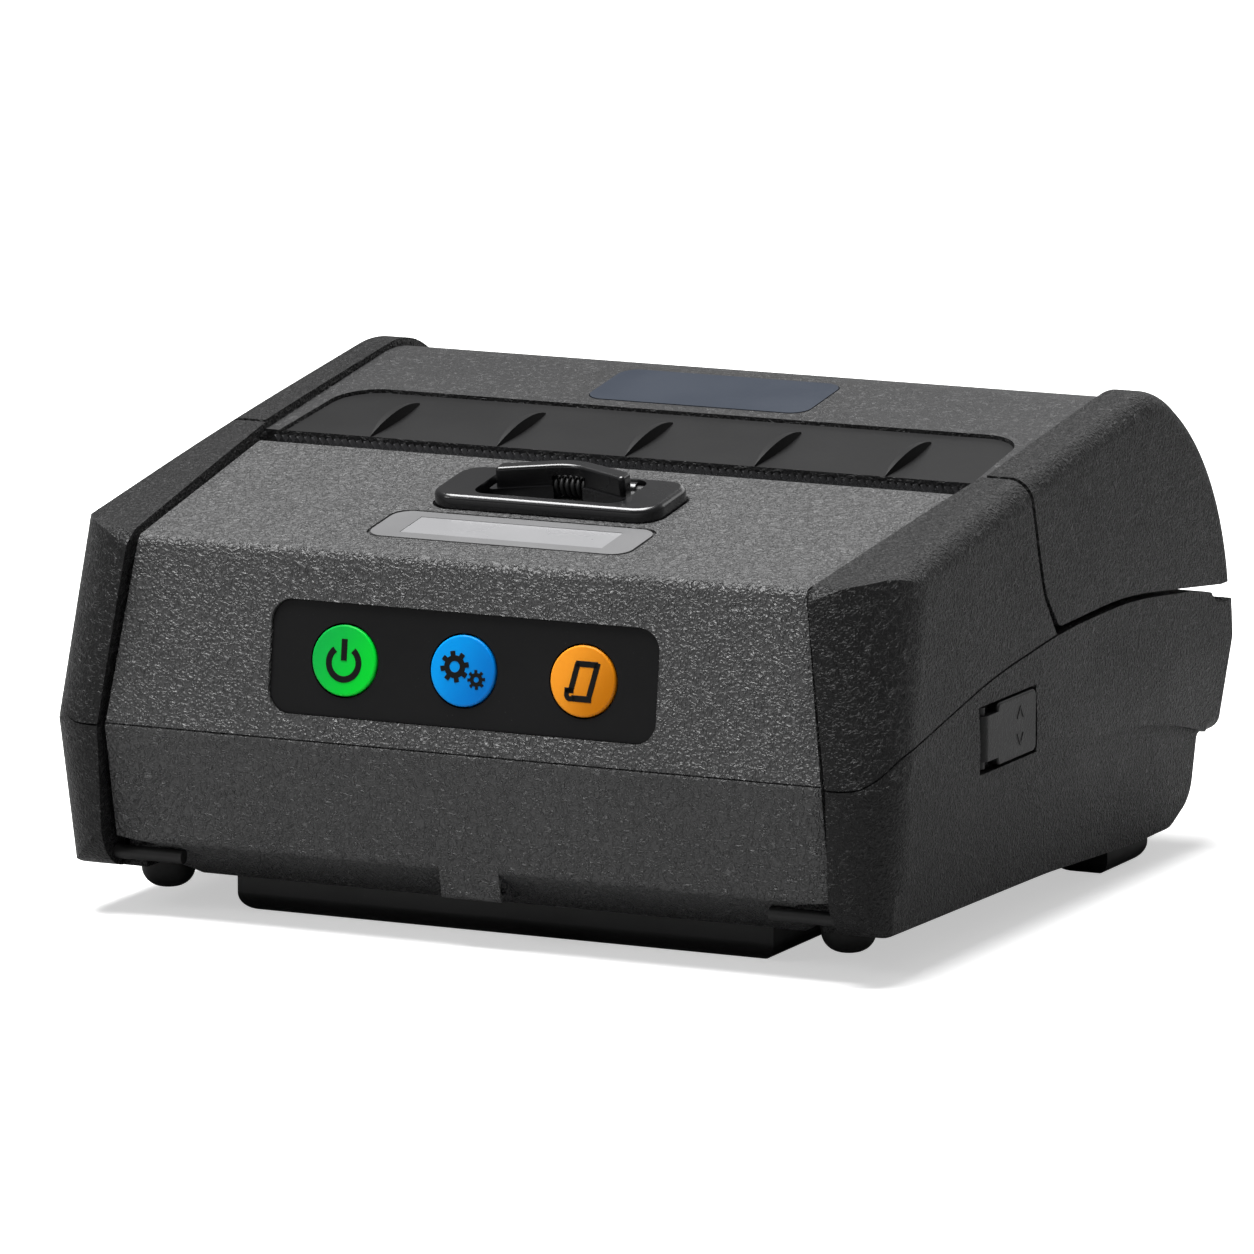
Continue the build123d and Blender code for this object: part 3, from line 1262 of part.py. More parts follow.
# Key board behind the bezel and its three dome switches
with BuildPart() as key_board:
    with BuildSketch(front_plane(KEY_PANEL_Z, KEY_BOARD_DEPTH)):
        Rectangle(2 * KEY_PANEL_HALF - 2, KEY_PANEL_TALL - 1.5)
    extrude(amount=-KEY_BOARD)
    with BuildSketch(front_plane(KEY_PANEL_Z, KEY_BOARD_DEPTH + KEY_BOARD / 2)):
        with GridLocations(KEY_PITCH, 1, 3, 1):
            Circle(KEY_STEM_R + 1)
    extrude(amount=KEY_DOME + KEY_BOARD / 2, taper=20)
key_board.part.label = "key_board"
export_step(key_board.part, "parts/key_board.step")

# Display: printed film with a clear window, and the module under it
with BuildPart() as display_film:
    with BuildSketch(roof_plane(FILM_Y, FILM_THICK)):
        RectangleRounded(2 * FILM_HALF - 2 * BUTT, FILM_DEEP - 2 * BUTT, FILM_ROUND)
        Rectangle(2 * WINDOW_HALF, WINDOW_DEEP, mode=Mode.SUBTRACT)
    extrude(amount=FILM_THICK)
display_film.part.label = "display_film"
export_step(display_film.part, "parts/display_film.step")
with BuildPart() as display_window:
    with BuildSketch(roof_plane(FILM_Y, FILM_THICK)):
        Rectangle(2 * WINDOW_HALF - BUTT, WINDOW_DEEP - BUTT)
    extrude(amount=FILM_THICK - 0.05)
display_window.part.label = "display_window"
export_step(display_window.part, "parts/display_window.step")
with BuildPart() as display_module:
    with BuildSketch(roof_plane(FILM_Y, WALL + SEAT)):
        Rectangle(2 * WINDOW_HALF + 2 * DISPLAY_MARGIN, WINDOW_DEEP + 2 * DISPLAY_MARGIN)
    extrude(amount=-DISPLAY_THICK)
    with BuildSketch(roof_plane(FILM_Y, WALL + SEAT)):
        Rectangle(2 * WINDOW_HALF - 3, WINDOW_DEEP - 3)
    extrude(amount=WALL - FILM_THICK)
display_module.part.label = "display_module"
export_step(display_module.part, "parts/display_module.step")

# Latch bezel: gloss plate seated in the roof, open in the middle for the lever
with BuildPart() as latch_bezel:
    with BuildSketch(roof_plane(LATCH_Y, LATCH_SUNK - 0.05, LATCH_X)):
        RectangleRounded(2 * LATCH_HALF, LATCH_DEEP, LATCH_ROUND)
    extrude(amount=LATCH_SUNK - 0.05 + LATCH_PROUD)
    rim = latch_bezel.faces().sort_by(Axis.Z)[-1].edges()
    fillet(rim, LATCH_RIM_ROUND)
    with BuildSketch(roof_plane(LATCH_Y, -LATCH_PROUD, LATCH_X)):
        with Locations((0, (FINGER_REAR - FINGER_FRONT) / 2)):
            RectangleRounded(2 * FINGER_HALF, FINGER_REAR + FINGER_FRONT, FINGER_ROUND)
    extrude(amount=-2 * LATCH_PROUD - LATCH_SUNK, mode=Mode.SUBTRACT)
    with BuildSketch(Plane.YZ.offset(LATCH_X - FINGER_HALF - LATCH_PIN_GRIP)):
        with Locations((latch_pin_at.Y, latch_pin_at.Z)):
            Circle(LATCH_PIN_R)
    extrude(amount=2 * FINGER_HALF + 2 * LATCH_PIN_GRIP, mode=Mode.SUBTRACT)
latch_bezel.part.label = "latch_bezel"
export_step(latch_bezel.part, "parts/latch_bezel.step")


# Bar of the lever between two heights over the roof, arched in front and behind
def lever_bar(low, high, front, front_arch, rear, rear_arch, half, rear_round):
    with BuildPart() as block:
        extrude(
            outline(
                roof_plane(LATCH_Y, -low, LATCH_X),
                [
                    (-half, front), (-half, rear), (0, rear + rear_arch), (half, rear),
                    (half, front), (0, front + front_arch),
                ],
                [LEVER_CORNER, LEVER_CORNER, rear_round, LEVER_CORNER, LEVER_CORNER, LEVER_ARCH_ROUND],
            ),
            amount=high - low,
        )
    return block.part


# Latch lever: arched handle on a flat paddle, with two legs that reach into the case
with BuildPart() as latch_lever:
    paddle_z = MOVING - LATCH_SUNK
    add(lever_bar(LATCH_PROUD + LEVER_LEDGE, LATCH_PROUD + LEVER_TALL, LEVER_FACE, LEVER_FACE_ARCH,
                  LEVER_REAR, LEVER_TOP_ARCH, LEVER_HALF, LEVER_NOSE_ROUND))
    top = latch_lever.faces().sort_by(Axis.Z)[-1]
    fillet(top.edges(), LEVER_ROUND)
    add(lever_bar(paddle_z, LATCH_PROUD + LEVER_LEDGE, LEVER_FACE, LEVER_FACE_ARCH, LEVER_REAR,
                  LEVER_REAR_ARCH, LEVER_HALF, LEVER_NOSE_ROUND))
    add(lever_bar(paddle_z, LEVER_SIT, LEVER_FACE - LEVER_FLANGE, LEVER_FACE_ARCH, LATCH_PIN_BACK,
                  LEVER_PADDLE_ARCH, LEVER_HALF + LEVER_FLANGE, LEVER_PADDLE_ROUND))
    with BuildSketch(Plane.YZ.offset(LATCH_X - LEVER_HALF)):
        with Locations((latch_pin_at.Y, latch_pin_at.Z)):
            Circle(LATCH_PIN_R + LEVER_HUB)
    extrude(amount=2 * LEVER_HALF)
    with BuildSketch(roof_plane(LATCH_Y, -paddle_z, LATCH_X)):
        with Locations(*[(side * LEG_X, LATCH_PIN_BACK - LEG_FORWARD) for side in (-1, 1)]):
            Rectangle(LEG_WIDE, LEG_DEEP)
    extrude(amount=-LEG_LONG)
    with BuildSketch(Plane.YZ.offset(LATCH_X - SIDE / 2)):
        with Locations((latch_pin_at.Y, latch_pin_at.Z)):
            Circle(LATCH_PIN_R + RUNNING)
    extrude(amount=SIDE, mode=Mode.SUBTRACT)
    with BuildSketch(roof_plane(LATCH_Y, LATCH_SUNK, LATCH_X)):
        with Locations((0, LATCH_PIN_BACK)):
            Rectangle(2 * LATCH_SPRING_HALF, 2 * LATCH_SPRING_SPACE)
    extrude(amount=LATCH_SUNK + LATCH_PIN_UP + LATCH_SPRING_SPACE, mode=Mode.SUBTRACT)
latch_lever.part.label = "latch_lever"
export_step(latch_lever.part, "parts/latch_lever.step")
with BuildPart() as latch_pin:
    with BuildSketch(Plane.YZ.offset(LATCH_X - FINGER_HALF - LATCH_PIN_GRIP + BUTT)):
        with Locations((latch_pin_at.Y, latch_pin_at.Z)):
            Circle(LATCH_PIN_R)
    extrude(amount=2 * (FINGER_HALF + LATCH_PIN_GRIP - BUTT))
latch_pin.part.label = "latch_pin"
export_step(latch_pin.part, "parts/latch_pin.step")

# Coil that turns the lever back down
with BuildPart() as latch_spring:
    coil = Helix(pitch=LATCH_SPRING_HALF / 3, height=2 * LATCH_SPRING_HALF - 2 * SPRING_WIRE_R,
                 radius=LATCH_SPRING_R,
                 center=(LATCH_X - LATCH_SPRING_HALF + SPRING_WIRE_R, latch_pin_at.Y, latch_pin_at.Z),
                 direction=(1, 0, 0), mode=Mode.PRIVATE)
    with BuildSketch(Plane(coil @ 0, z_dir=coil % 0)):
        Circle(SPRING_WIRE_R)
    sweep(path=coil, is_frenet=True)
latch_spring.part.label = "latch_spring"
export_step(latch_spring.part, "parts/latch_spring.step")

# Release bar across the feet of the lever's legs
with BuildPart() as release_bar:
    with BuildSketch(roof_plane(LATCH_Y, LEG_LONG + BUTT - paddle_z, LATCH_X)):
        with Locations((0, LATCH_PIN_BACK - LEG_FORWARD)):
            RectangleRounded(2 * LATCH_BAR_HALF, LATCH_BAR_DEEP, BAR_ROUND)
    extrude(amount=-BRACKET_THICK)
release_bar.part.label = "release_bar"
export_step(release_bar.part, "parts/release_bar.step")


# Gears turn about X, teeth drawn from the involute of the base circle
def involute_gear(x, centre, teeth, module, face, bore, turn):
    pitch_r = teeth * module / 2
    base_r = pitch_r * math.cos(math.radians(PRESSURE_ANGLE))
    tip_r = pitch_r + ADDENDUM * module
    root_r = pitch_r - DEDENDUM * module

    def flank(r):
        roll = math.acos(min(1.0, base_r / r))
        return math.tan(roll) - roll

    half = math.pi / (2 * teeth) - GEAR_BACKLASH / 4 / pitch_r + flank(pitch_r)
    low_r = max(base_r, root_r)
    steps = [low_r + (tip_r - low_r) * k / 3 for k in range(4)]
    points = []
    for index in range(teeth):
        middle = turn + index * 2 * math.pi / teeth
        side = [(r, half - flank(r)) for r in steps]
        if root_r < low_r:
            side = [(root_r, half)] + side
        points += [(r, middle - a) for r, a in side]
        points += [(r, middle + a) for r, a in reversed(side)]
    with BuildPart() as gear:
        with BuildSketch(Plane.YZ.offset(x)):
            with Locations(centre):
                Polygon(*[(r * math.cos(a), r * math.sin(a)) for r, a in points], align=None)
                if bore:
                    Circle(bore, mode=Mode.SUBTRACT)
        extrude(amount=face)
    return gear.part


GEAR_X = -CHASSIS_X - CHASSIS_THICK - GEAR_FACE - GEAR_GAP
PLATEN_PITCH_R = PLATEN_TEETH * GEAR_MODULE / 2
IDLER_PITCH_R = IDLER_TEETH * GEAR_MODULE / 2
PINION_PITCH_R = PINION_TEETH * GEAR_MODULE / 2
IDLER_REACH = PLATEN_PITCH_R + IDLER_PITCH_R
PINION_REACH = IDLER_PITCH_R + PINION_PITCH_R
lid_lift = math.atan2(HINGE_Y - PLATEN_Y, PLATEN_Z - HINGE_Z)
idler_at = (
    PLATEN_Y - IDLER_REACH * math.cos(lid_lift),
    PLATEN_Z - IDLER_REACH * math.sin(lid_lift),
)
to_pinion = math.radians(PINION_BEARING)
pinion_at = (
    idler_at[0] + PINION_REACH * math.cos(to_pinion),
    idler_at[1] + PINION_REACH * math.sin(to_pinion),
)
idler_pitch = 2 * math.pi / IDLER_TEETH
ahead = round((to_pinion - lid_lift) / idler_pitch) * idler_pitch + lid_lift - to_pinion

# Platen: steel shaft, rubber sleeve and gear
with BuildPart() as platen_shaft:
    with BuildSketch(Plane.YZ.offset(GEAR_X - SHAFT_CHAMFER)):
        with Locations((PLATEN_Y, PLATEN_Z)):
            Circle(PLATEN_SHAFT_R)
    extrude(amount=-GEAR_X + SHAFT_CHAMFER + BUSH_OUT + BUSH_LONG + SHAFT_END)
    chamfer(platen_shaft.edges().filter_by(GeomType.CIRCLE), SHAFT_CHAMFER)
platen_shaft.part.label = "platen_shaft"
export_step(platen_shaft.part, "parts/platen_shaft.step")
with BuildPart() as platen_rubber:
    with BuildSketch(Plane.YZ.offset(-PLATEN_HALF)):
        with Locations((PLATEN_Y, PLATEN_Z)):
            Circle(PLATEN_R)
            Circle(PLATEN_SHAFT_R, mode=Mode.SUBTRACT)
    extrude(amount=2 * PLATEN_HALF)
platen_rubber.part.label = "platen_rubber"
export_step(platen_rubber.part, "parts/platen_rubber.step")
platen_gear = involute_gear(
    GEAR_X, (PLATEN_Y, PLATEN_Z), PLATEN_TEETH, GEAR_MODULE, GEAR_FACE, PLATEN_SHAFT_R,
    lid_lift + math.pi + math.pi / PLATEN_TEETH,
)
platen_gear.label = "platen_gear"
export_step(platen_gear, "parts/platen_gear.step")

# Platen bushes and the holder that hangs them from the lid
for side, name in ((-1, "platen_bush_left"), (1, "platen_bush_right")):
    with BuildPart() as bush:
        with BuildSketch(Plane.YZ.offset(side * BUSH_OUT)):
            with Locations((PLATEN_Y, PLATEN_Z)):
                Circle(BUSH_R)
                Circle(PLATEN_SHAFT_R + RUNNING, mode=Mode.SUBTRACT)
        extrude(amount=side * BUSH_LONG)
    bush.part.label = name
    export_step(bush.part, "parts/" + name + ".step")
with BuildPart() as platen_holder:
    with BuildSketch(roof_plane(PLATEN_Y, WALL + SEAT)):
        with Locations((0, 4)):
            Rectangle(2 * (BUSH_OUT + BUTT + HOLDER_THICK), HOLDER_DEEP)
    extrude(amount=-HOLDER_THICK)
    for side in (-1, 1):
        x = side * (BUSH_OUT + BUTT)
        with BuildSketch(Plane.YZ.offset(x)):
            with BuildLine():
                top_z = roof_z(PLATEN_Y) - WALL - SEAT - HOLDER_THICK / 2
                rise = ROOF_SLOPE * BUSH_R
                Polyline(
                    (PLATEN_Y - BUSH_R - HOLDER_EAR, PLATEN_Z),
                    (PLATEN_Y - BUSH_R - HOLDER_EAR, top_z - 1.4 * rise),
                    (PLATEN_Y + BUSH_R + 3 * HOLDER_EAR, top_z + 1.6 * rise),
                    (PLATEN_Y + BUSH_R + HOLDER_EAR, PLATEN_Z),
                )
                ThreePointArc(
                    (PLATEN_Y + BUSH_R + HOLDER_EAR, PLATEN_Z),
                    (PLATEN_Y, PLATEN_Z - BUSH_R - HOLDER_EAR),
                    (PLATEN_Y - BUSH_R - HOLDER_EAR, PLATEN_Z),
                )
            make_face()
        extrude(amount=side * HOLDER_THICK)
    with BuildSketch(Plane.YZ.offset(-SIDE)):
        with Locations((PLATEN_Y, PLATEN_Z)):
            Circle(BUSH_R)
    extrude(amount=WIDTH, mode=Mode.SUBTRACT)
platen_holder.part.label = "platen_holder"
export_step(platen_holder.part, "parts/platen_holder.step")

# Drive from the motor to the platen
idler_gear = involute_gear(GEAR_X, idler_at, IDLER_TEETH, GEAR_MODULE, GEAR_FACE,
                           PIN_R + RUNNING, lid_lift)
idler_gear.label = "idler_gear"
export_step(idler_gear, "parts/idler_gear.step")
with BuildPart() as idler_pin:
    with BuildSketch(Plane.YZ.offset(-CHASSIS_X)):
        with Locations(idler_at):
            Circle(PIN_R)
    extrude(amount=GEAR_X + CHASSIS_X - 0.2)
    with BuildSketch(Plane.YZ.offset(-CHASSIS_X - CHASSIS_THICK)):
        with Locations(idler_at):
            Circle(PIN_R + 1)
    extrude(amount=-PIN_HEAD)
idler_pin.part.label = "idler_pin"
export_step(idler_pin.part, "parts/idler_pin.step")
motor_pinion = involute_gear(
    GEAR_X, pinion_at, PINION_TEETH, GEAR_MODULE, GEAR_FACE, MOTOR_SHAFT_R,
    to_pinion + math.pi + math.pi / PINION_TEETH - ahead * IDLER_TEETH / PINION_TEETH,
)
motor_pinion.label = "motor_pinion"
export_step(motor_pinion, "parts/motor_pinion.step")
with BuildPart() as motor_shaft:
    with BuildSketch(Plane.YZ.offset(GEAR_X - 0.3)):
        with Locations(pinion_at):
            Circle(MOTOR_SHAFT_R)
    extrude(amount=-GEAR_X + 0.3 - CHASSIS_X + MOTOR_LONG * 0.6)
motor_shaft.part.label = "motor_shaft"
export_step(motor_shaft.part, "parts/motor_shaft.step")
with BuildPart() as stepper_motor:
    with BuildSketch(Plane.YZ.offset(-CHASSIS_X + BUTT)):
        with Locations(pinion_at):
            Circle(MOTOR_R)
    extrude(amount=MOTOR_LONG)
    fillet(stepper_motor.faces().sort_by(Axis.X)[-1].edges(), 1.0)
    with BuildSketch(Plane.YZ.offset(-CHASSIS_X)):
        with Locations(pinion_at):
            Circle(MOTOR_SHAFT_R + RUNNING)
    extrude(amount=MOTOR_LONG * 0.7, mode=Mode.SUBTRACT)
stepper_motor.part.label = "stepper_motor"
export_step(stepper_motor.part, "parts/stepper_motor.step")

# Chassis plates: they carry the head, the motor and the notches for the platen bushes
HEAD_Y = PLATEN_Y - PLATEN_R - MOVING - HEAD_THICK
for side, name in ((-1, "chassis_left"), (1, "chassis_right")):
    with BuildPart() as plate:
        with BuildSketch(Plane.YZ.offset(side * CHASSIS_X)):
            Polygon(
                (CHASSIS_FRONT, SIDE_FLOOR_IN + SEAT),
                (CHASSIS_REAR, SIDE_FLOOR_IN + SEAT),
                (CHASSIS_REAR, PLATEN_Z - 1.5),
                (PLATEN_Y, PLATEN_Z - 1.5),
                (PLATEN_Y - BUSH_R - MOVING, PLATEN_Z),
                (PLATEN_Y - BUSH_R - MOVING, PLATEN_Z + 4.5),
                (CHASSIS_FRONT + 6, PLATEN_Z + 2.5),
                (CHASSIS_FRONT, PLATEN_Z - 8),
                align=None,
            )
            with Locations((PLATEN_Y, PLATEN_Z)):
                Circle(BUSH_R + MOVING, mode=Mode.SUBTRACT)
            with Locations((HEAD_Y + HEAD_THICK / 2, PLATEN_Z)):
                Circle(HEAD_PIN_R + RUNNING, mode=Mode.SUBTRACT)
            if side < 0:
                with Locations(pinion_at):
                    Circle(MOTOR_SHAFT_R + 1.5, mode=Mode.SUBTRACT)
                with Locations(idler_at):
                    Circle(PIN_R, mode=Mode.SUBTRACT)
        extrude(amount=side * CHASSIS_THICK)
    plate.part.label = name
    export_step(plate.part, "parts/" + name + ".step")

# Print head with its end pins, its bracket and the two springs between them
with BuildPart() as print_head:
    with Locations((0, HEAD_Y, PLATEN_Z)):
        Box(2 * HEAD_HALF, HEAD_THICK, HEAD_TALL, align=(Align.CENTER, Align.MIN, Align.CENTER))
    ridge = print_head.edges().filter_by(Axis.X).sort_by(Axis.Y)[-2:]
    chamfer(ridge, 1.2)
    with Locations((0, HEAD_Y + HEAD_THICK / 2, PLATEN_Z)):
        Cylinder(HEAD_PIN_R, 2 * (CHASSIS_X + CHASSIS_THICK), rotation=(0, 90, 0))
print_head.part.label = "print_head"
export_step(print_head.part, "parts/print_head.step")
BRACKET_Y = HEAD_Y - SPRING_LONG - BRACKET_THICK
with BuildPart() as head_bracket:
    with Locations((0, BRACKET_Y, PLATEN_Z - HEAD_TALL / 2)):
        Box(2 * (CHASSIS_X - SEAT), BRACKET_THICK, BRACKET_TALL,
            align=(Align.CENTER, Align.MIN, Align.MIN))
    with Locations((0, BRACKET_Y, PLATEN_Z - HEAD_TALL / 2)):
        Box(2 * (CHASSIS_X - SEAT), 7, BRACKET_THICK, align=(Align.CENTER, Align.MIN, Align.MIN))
head_bracket.part.label = "head_bracket"
export_step(head_bracket.part, "parts/head_bracket.step")
with BuildPart() as head_springs:
    for side in (-1, 1):
        coil = Helix(pitch=(SPRING_LONG - 2 * SPRING_END) / SPRING_COILS,
                     height=SPRING_LONG - 2 * SPRING_END, radius=SPRING_R,
                     center=(side * HEAD_SPRING_X, HEAD_Y - SPRING_END, PLATEN_Z), direction=(0, -1, 0),
                     mode=Mode.PRIVATE)
        with BuildSketch(Plane(coil @ 0, z_dir=coil % 0)):
            Circle(SPRING_WIRE_R)
        sweep(path=coil, is_frenet=True)
head_springs.part.label = "head_springs"
export_step(head_springs.part, "parts/head_springs.step")

# Hinge pins of the lid
with BuildPart() as lid_hinge_pins:
    for side in (-1, 1):
        with Locations((side * (LID_KNUCKLE_X + KNUCKLE_LONG + KNUCKLE_GAP / 2), HINGE_Y, HINGE_Z)):
            Cylinder(HINGE_PIN_R, 2 * KNUCKLE_LONG, rotation=(0, 90, 0))
lid_hinge_pins.part.label = "lid_hinge_pins"
export_step(lid_hinge_pins.part, "parts/lid_hinge_pins.step")

# Media cradle: the round well under the roll, with slots for the two guides and two ears
with BuildPart() as media_cradle:
    with BuildSketch(Plane.YZ.offset(-CRADLE_HALF)):
        with Locations((ROLL_Y, ROLL_Z)):
            Circle(ROLL_R + CRADLE_THICK)
        with Locations((POST_REAR_Y, POST_TOP_Z + SEAT)):
            Rectangle(2 * POST_R, 9, align=(Align.CENTER, Align.MIN))
    extrude(amount=2 * CRADLE_HALF)
    with Locations((0, POST_REAR_Y, 0)):
        Box(2 * (POST_X - POST_R), 4 * POST_R, ROLL_Z - ROLL_R - CRADLE_THICK + 14,
            align=(Align.CENTER, Align.CENTER, Align.MIN), mode=Mode.SUBTRACT)
    with BuildSketch(Plane.YZ.offset(-CRADLE_HALF)):
        with Locations((ROLL_Y, ROLL_Z)):
            Circle(ROLL_R + CRADLE_THICK)
    extrude(amount=2 * CRADLE_HALF)
    with BuildSketch(Plane.YZ.offset(-CRADLE_HALF)):
        with Locations((ROLL_Y, ROLL_Z)):
            Circle(ROLL_R)
        with Locations((ROLL_Y, ROLL_Z)):
            Rectangle(4 * ROLL_R, 2 * ROLL_R, align=(Align.CENTER, Align.MIN))
    extrude(amount=2 * CRADLE_HALF, mode=Mode.SUBTRACT)
    for side in (-1, 1):
        with Locations((side * (MEDIA_HALF - MEDIA_TRAVEL - 1), ROLL_Y, 0)):
            Box(CRADLE_HALF, GUIDE_NECK + 4 * MOVING, ROLL_Z - ROLL_R + 3,
                align=(Align.MIN if side > 0 else Align.MAX, Align.CENTER, Align.MIN),
                mode=Mode.SUBTRACT)
    with Locations(*[(side * POST_X, POST_REAR_Y, POST_TOP_Z) for side in (-1, 1)]):
        Cylinder(SCREW_R + RUNNING, 8, align=(Align.CENTER, Align.CENTER, Align.MIN),
                 mode=Mode.SUBTRACT)
media_cradle.part.label = "media_cradle"
export_step(media_cradle.part, "parts/media_cradle.step")

# Media sensor on the front edge of the cradle
with BuildPart() as media_sensor:
    with Locations((0, ROLL_Y - ROLL_R - CRADLE_THICK - BUTT, ROLL_Z - 1)):
        Box(SENSOR_WIDE, SENSOR_DEEP, SENSOR_TALL, align=(Align.CENTER, Align.MAX, Align.MAX))
    fillet(media_sensor.edges().filter_by(Axis.X), SENSOR_ROUND)
media_sensor.part.label = "media_sensor"
export_step(media_sensor.part, "parts/media_sensor.step")

# Roll guides: a disc on a neck, and a rack that reaches past the pinion
RACK_PITCH = math.pi * RACK_MODULE
RACK_PINION_R = RACK_PINION_TEETH * RACK_MODULE / 2


def media_guide(side):
    face = side * (MEDIA_HALF + GUIDE_THICK / 2)
    flank = math.tan(math.radians(PRESSURE_ANGLE))
    tip = ADDENDUM * RACK_MODULE
    root = DEDENDUM * RACK_MODULE
    half = RACK_PITCH / 4 - GEAR_BACKLASH / 4
    line_y = RACK_PINION_R
    first = -2
    last = int(MEDIA_HALF / RACK_PITCH) - 1
    points = [(MEDIA_HALF + GUIDE_THICK, line_y + root + RACK_WIDE),
              (first * RACK_PITCH, line_y + root + RACK_WIDE),
              (first * RACK_PITCH, line_y + root)]
    for index in range(first, last):
        middle = (index + 0.5) * RACK_PITCH
        points += [
            (middle - half - root * flank, line_y + root),
            (middle - half + tip * flank, line_y - tip),
            (middle + half - tip * flank, line_y - tip),
            (middle + half + root * flank, line_y + root),
        ]
    points.append((MEDIA_HALF + GUIDE_THICK, line_y + root))
    with BuildPart() as guide:
        with BuildSketch(Plane.XY.offset(RACK_Z)):
            with Locations(Location((0, ROLL_Y, 0), (0, 0, 90 - 90 * side))):
                Polygon(*points, align=None)
                with Locations((MEDIA_HALF, line_y + root + RACK_WIDE)):
                    Rectangle(GUIDE_THICK, line_y + root + RACK_WIDE + GUIDE_NECK / 2,
                              align=(Align.MIN, Align.MAX))
        extrude(amount=RACK_FACE)
        with Locations((face, ROLL_Y, RACK_Z)):
            Box(GUIDE_THICK, GUIDE_NECK, ROLL_Z - RACK_Z,
                align=(Align.CENTER, Align.CENTER, Align.MIN))
        with Locations((face, ROLL_Y, ROLL_Z)):
            Cylinder(GUIDE_DISC_R, GUIDE_THICK, rotation=(0, 90, 0))
        with Locations((face - side * GUIDE_THICK / 2, ROLL_Y, ROLL_Z)):
            Cone(HUB_R, HUB_TIP_R, HUB_LONG, rotation=(0, -side * 90, 0),
                 align=(Align.CENTER, Align.CENTER, Align.MIN))
    return guide.part


media_guide_right = media_guide(1)
media_guide_right.label = "media_guide_right"
export_step(media_guide_right, "parts/media_guide_right.step")
media_guide_left = media_guide(-1)
media_guide_left.label = "media_guide_left"
export_step(media_guide_left, "parts/media_guide_left.step")

with BuildPart() as guide_pinion:
    gear_blank = involute_gear(0, (0, 0), RACK_PINION_TEETH, RACK_MODULE, RACK_FACE, 0, 0)
    with Locations(Location((0, ROLL_Y, RACK_Z), (0, -90, 0))):
        add(gear_blank)
    with Locations((0, ROLL_Y, RACK_Z)):
        Cylinder(PIN_R + RUNNING, RACK_FACE, align=(Align.CENTER, Align.CENTER, Align.MIN),
                 mode=Mode.SUBTRACT)
guide_pinion.part.label = "guide_pinion"
export_step(guide_pinion.part, "parts/guide_pinion.step")

# Battery pack, its contacts and the connector over them
with BuildPart() as battery_pack:
    with Locations((0, BAY_MID_Y, 0)):
        Box(2 * BATTERY_HALF, BATTERY_DEEP, BATTERY_TALL,
            align=(Align.CENTER, Align.CENTER, Align.MIN))
    fillet(battery_pack.edges().group_by(Axis.Z)[0], BATTERY_ROUND)
    fillet(battery_pack.edges().group_by(Axis.Z)[-1], BATTERY_TOP_ROUND)
    with Locations(*[(x, CONNECTOR_Y, BATTERY_TALL) for x in contact_rows]):
        Box(CONTACT_WIDE + BUTT, CONTACT_DEEP + BUTT, 2 * CONTACT_SUNK, mode=Mode.SUBTRACT)
    # finger hollow under the rear edge
    with Locations((0, BAY_BACK, 0)):
        Cylinder(FINGER_HOLLOW_R, 2 * FINGER_HOLLOW_TALL, mode=Mode.SUBTRACT)
battery_pack.part.label = "battery_pack"
export_step(battery_pack.part, "parts/battery_pack.step")
with BuildPart() as battery_contacts:
    with Locations(*[(x, CONNECTOR_Y, BATTERY_TALL - CONTACT_SUNK) for x in contact_rows]):
        Box(CONTACT_WIDE, CONTACT_DEEP, CONTACT_SUNK, align=(Align.CENTER, Align.CENTER, Align.MIN))
battery_contacts.part.label = "battery_contacts"
export_step(battery_contacts.part, "parts/battery_contacts.step")
with BuildPart() as battery_connector:
    with Locations((CONNECTOR_X, CONNECTOR_Y, BAY_TOP - BUTT)):
        Box(CONNECTOR_WIDE, CONNECTOR_DEEP, BOARD_Z - BAY_TOP,
            align=(Align.CENTER, Align.CENTER, Align.MIN))
battery_connector.part.label = "battery_connector"
export_step(battery_connector.part, "parts/battery_connector.step")

# Main board on its posts
with BuildPart() as main_board:
    middle_x = (MAIN_BOARD_LEFT + MAIN_BOARD_RIGHT) / 2
    with Locations((middle_x, BAY_MID_Y, BOARD_Z)):
        Box(MAIN_BOARD_RIGHT - MAIN_BOARD_LEFT, BATTERY_DEEP - 4, BOARD,
            align=(Align.CENTER, Align.CENTER, Align.MIN))
    with Locations((middle_x - 12, BAY_MID_Y + 2, BOARD_Z + BOARD), (middle_x + 14, BAY_MID_Y - 6,
                                                                    BOARD_Z + BOARD)):
        Box(CHIP_WIDE, CHIP_WIDE, CHIP_TALL, align=(Align.CENTER, Align.CENTER, Align.MIN))
    with Locations((middle_x + 2, BAY_MID_Y + 16, BOARD_Z + BOARD)):
        Box(SOCKET_LONG, SOCKET_TALL, SOCKET_TALL, align=(Align.CENTER, Align.CENTER, Align.MIN))
main_board.part.label = "main_board"
export_step(main_board.part, "parts/main_board.step")

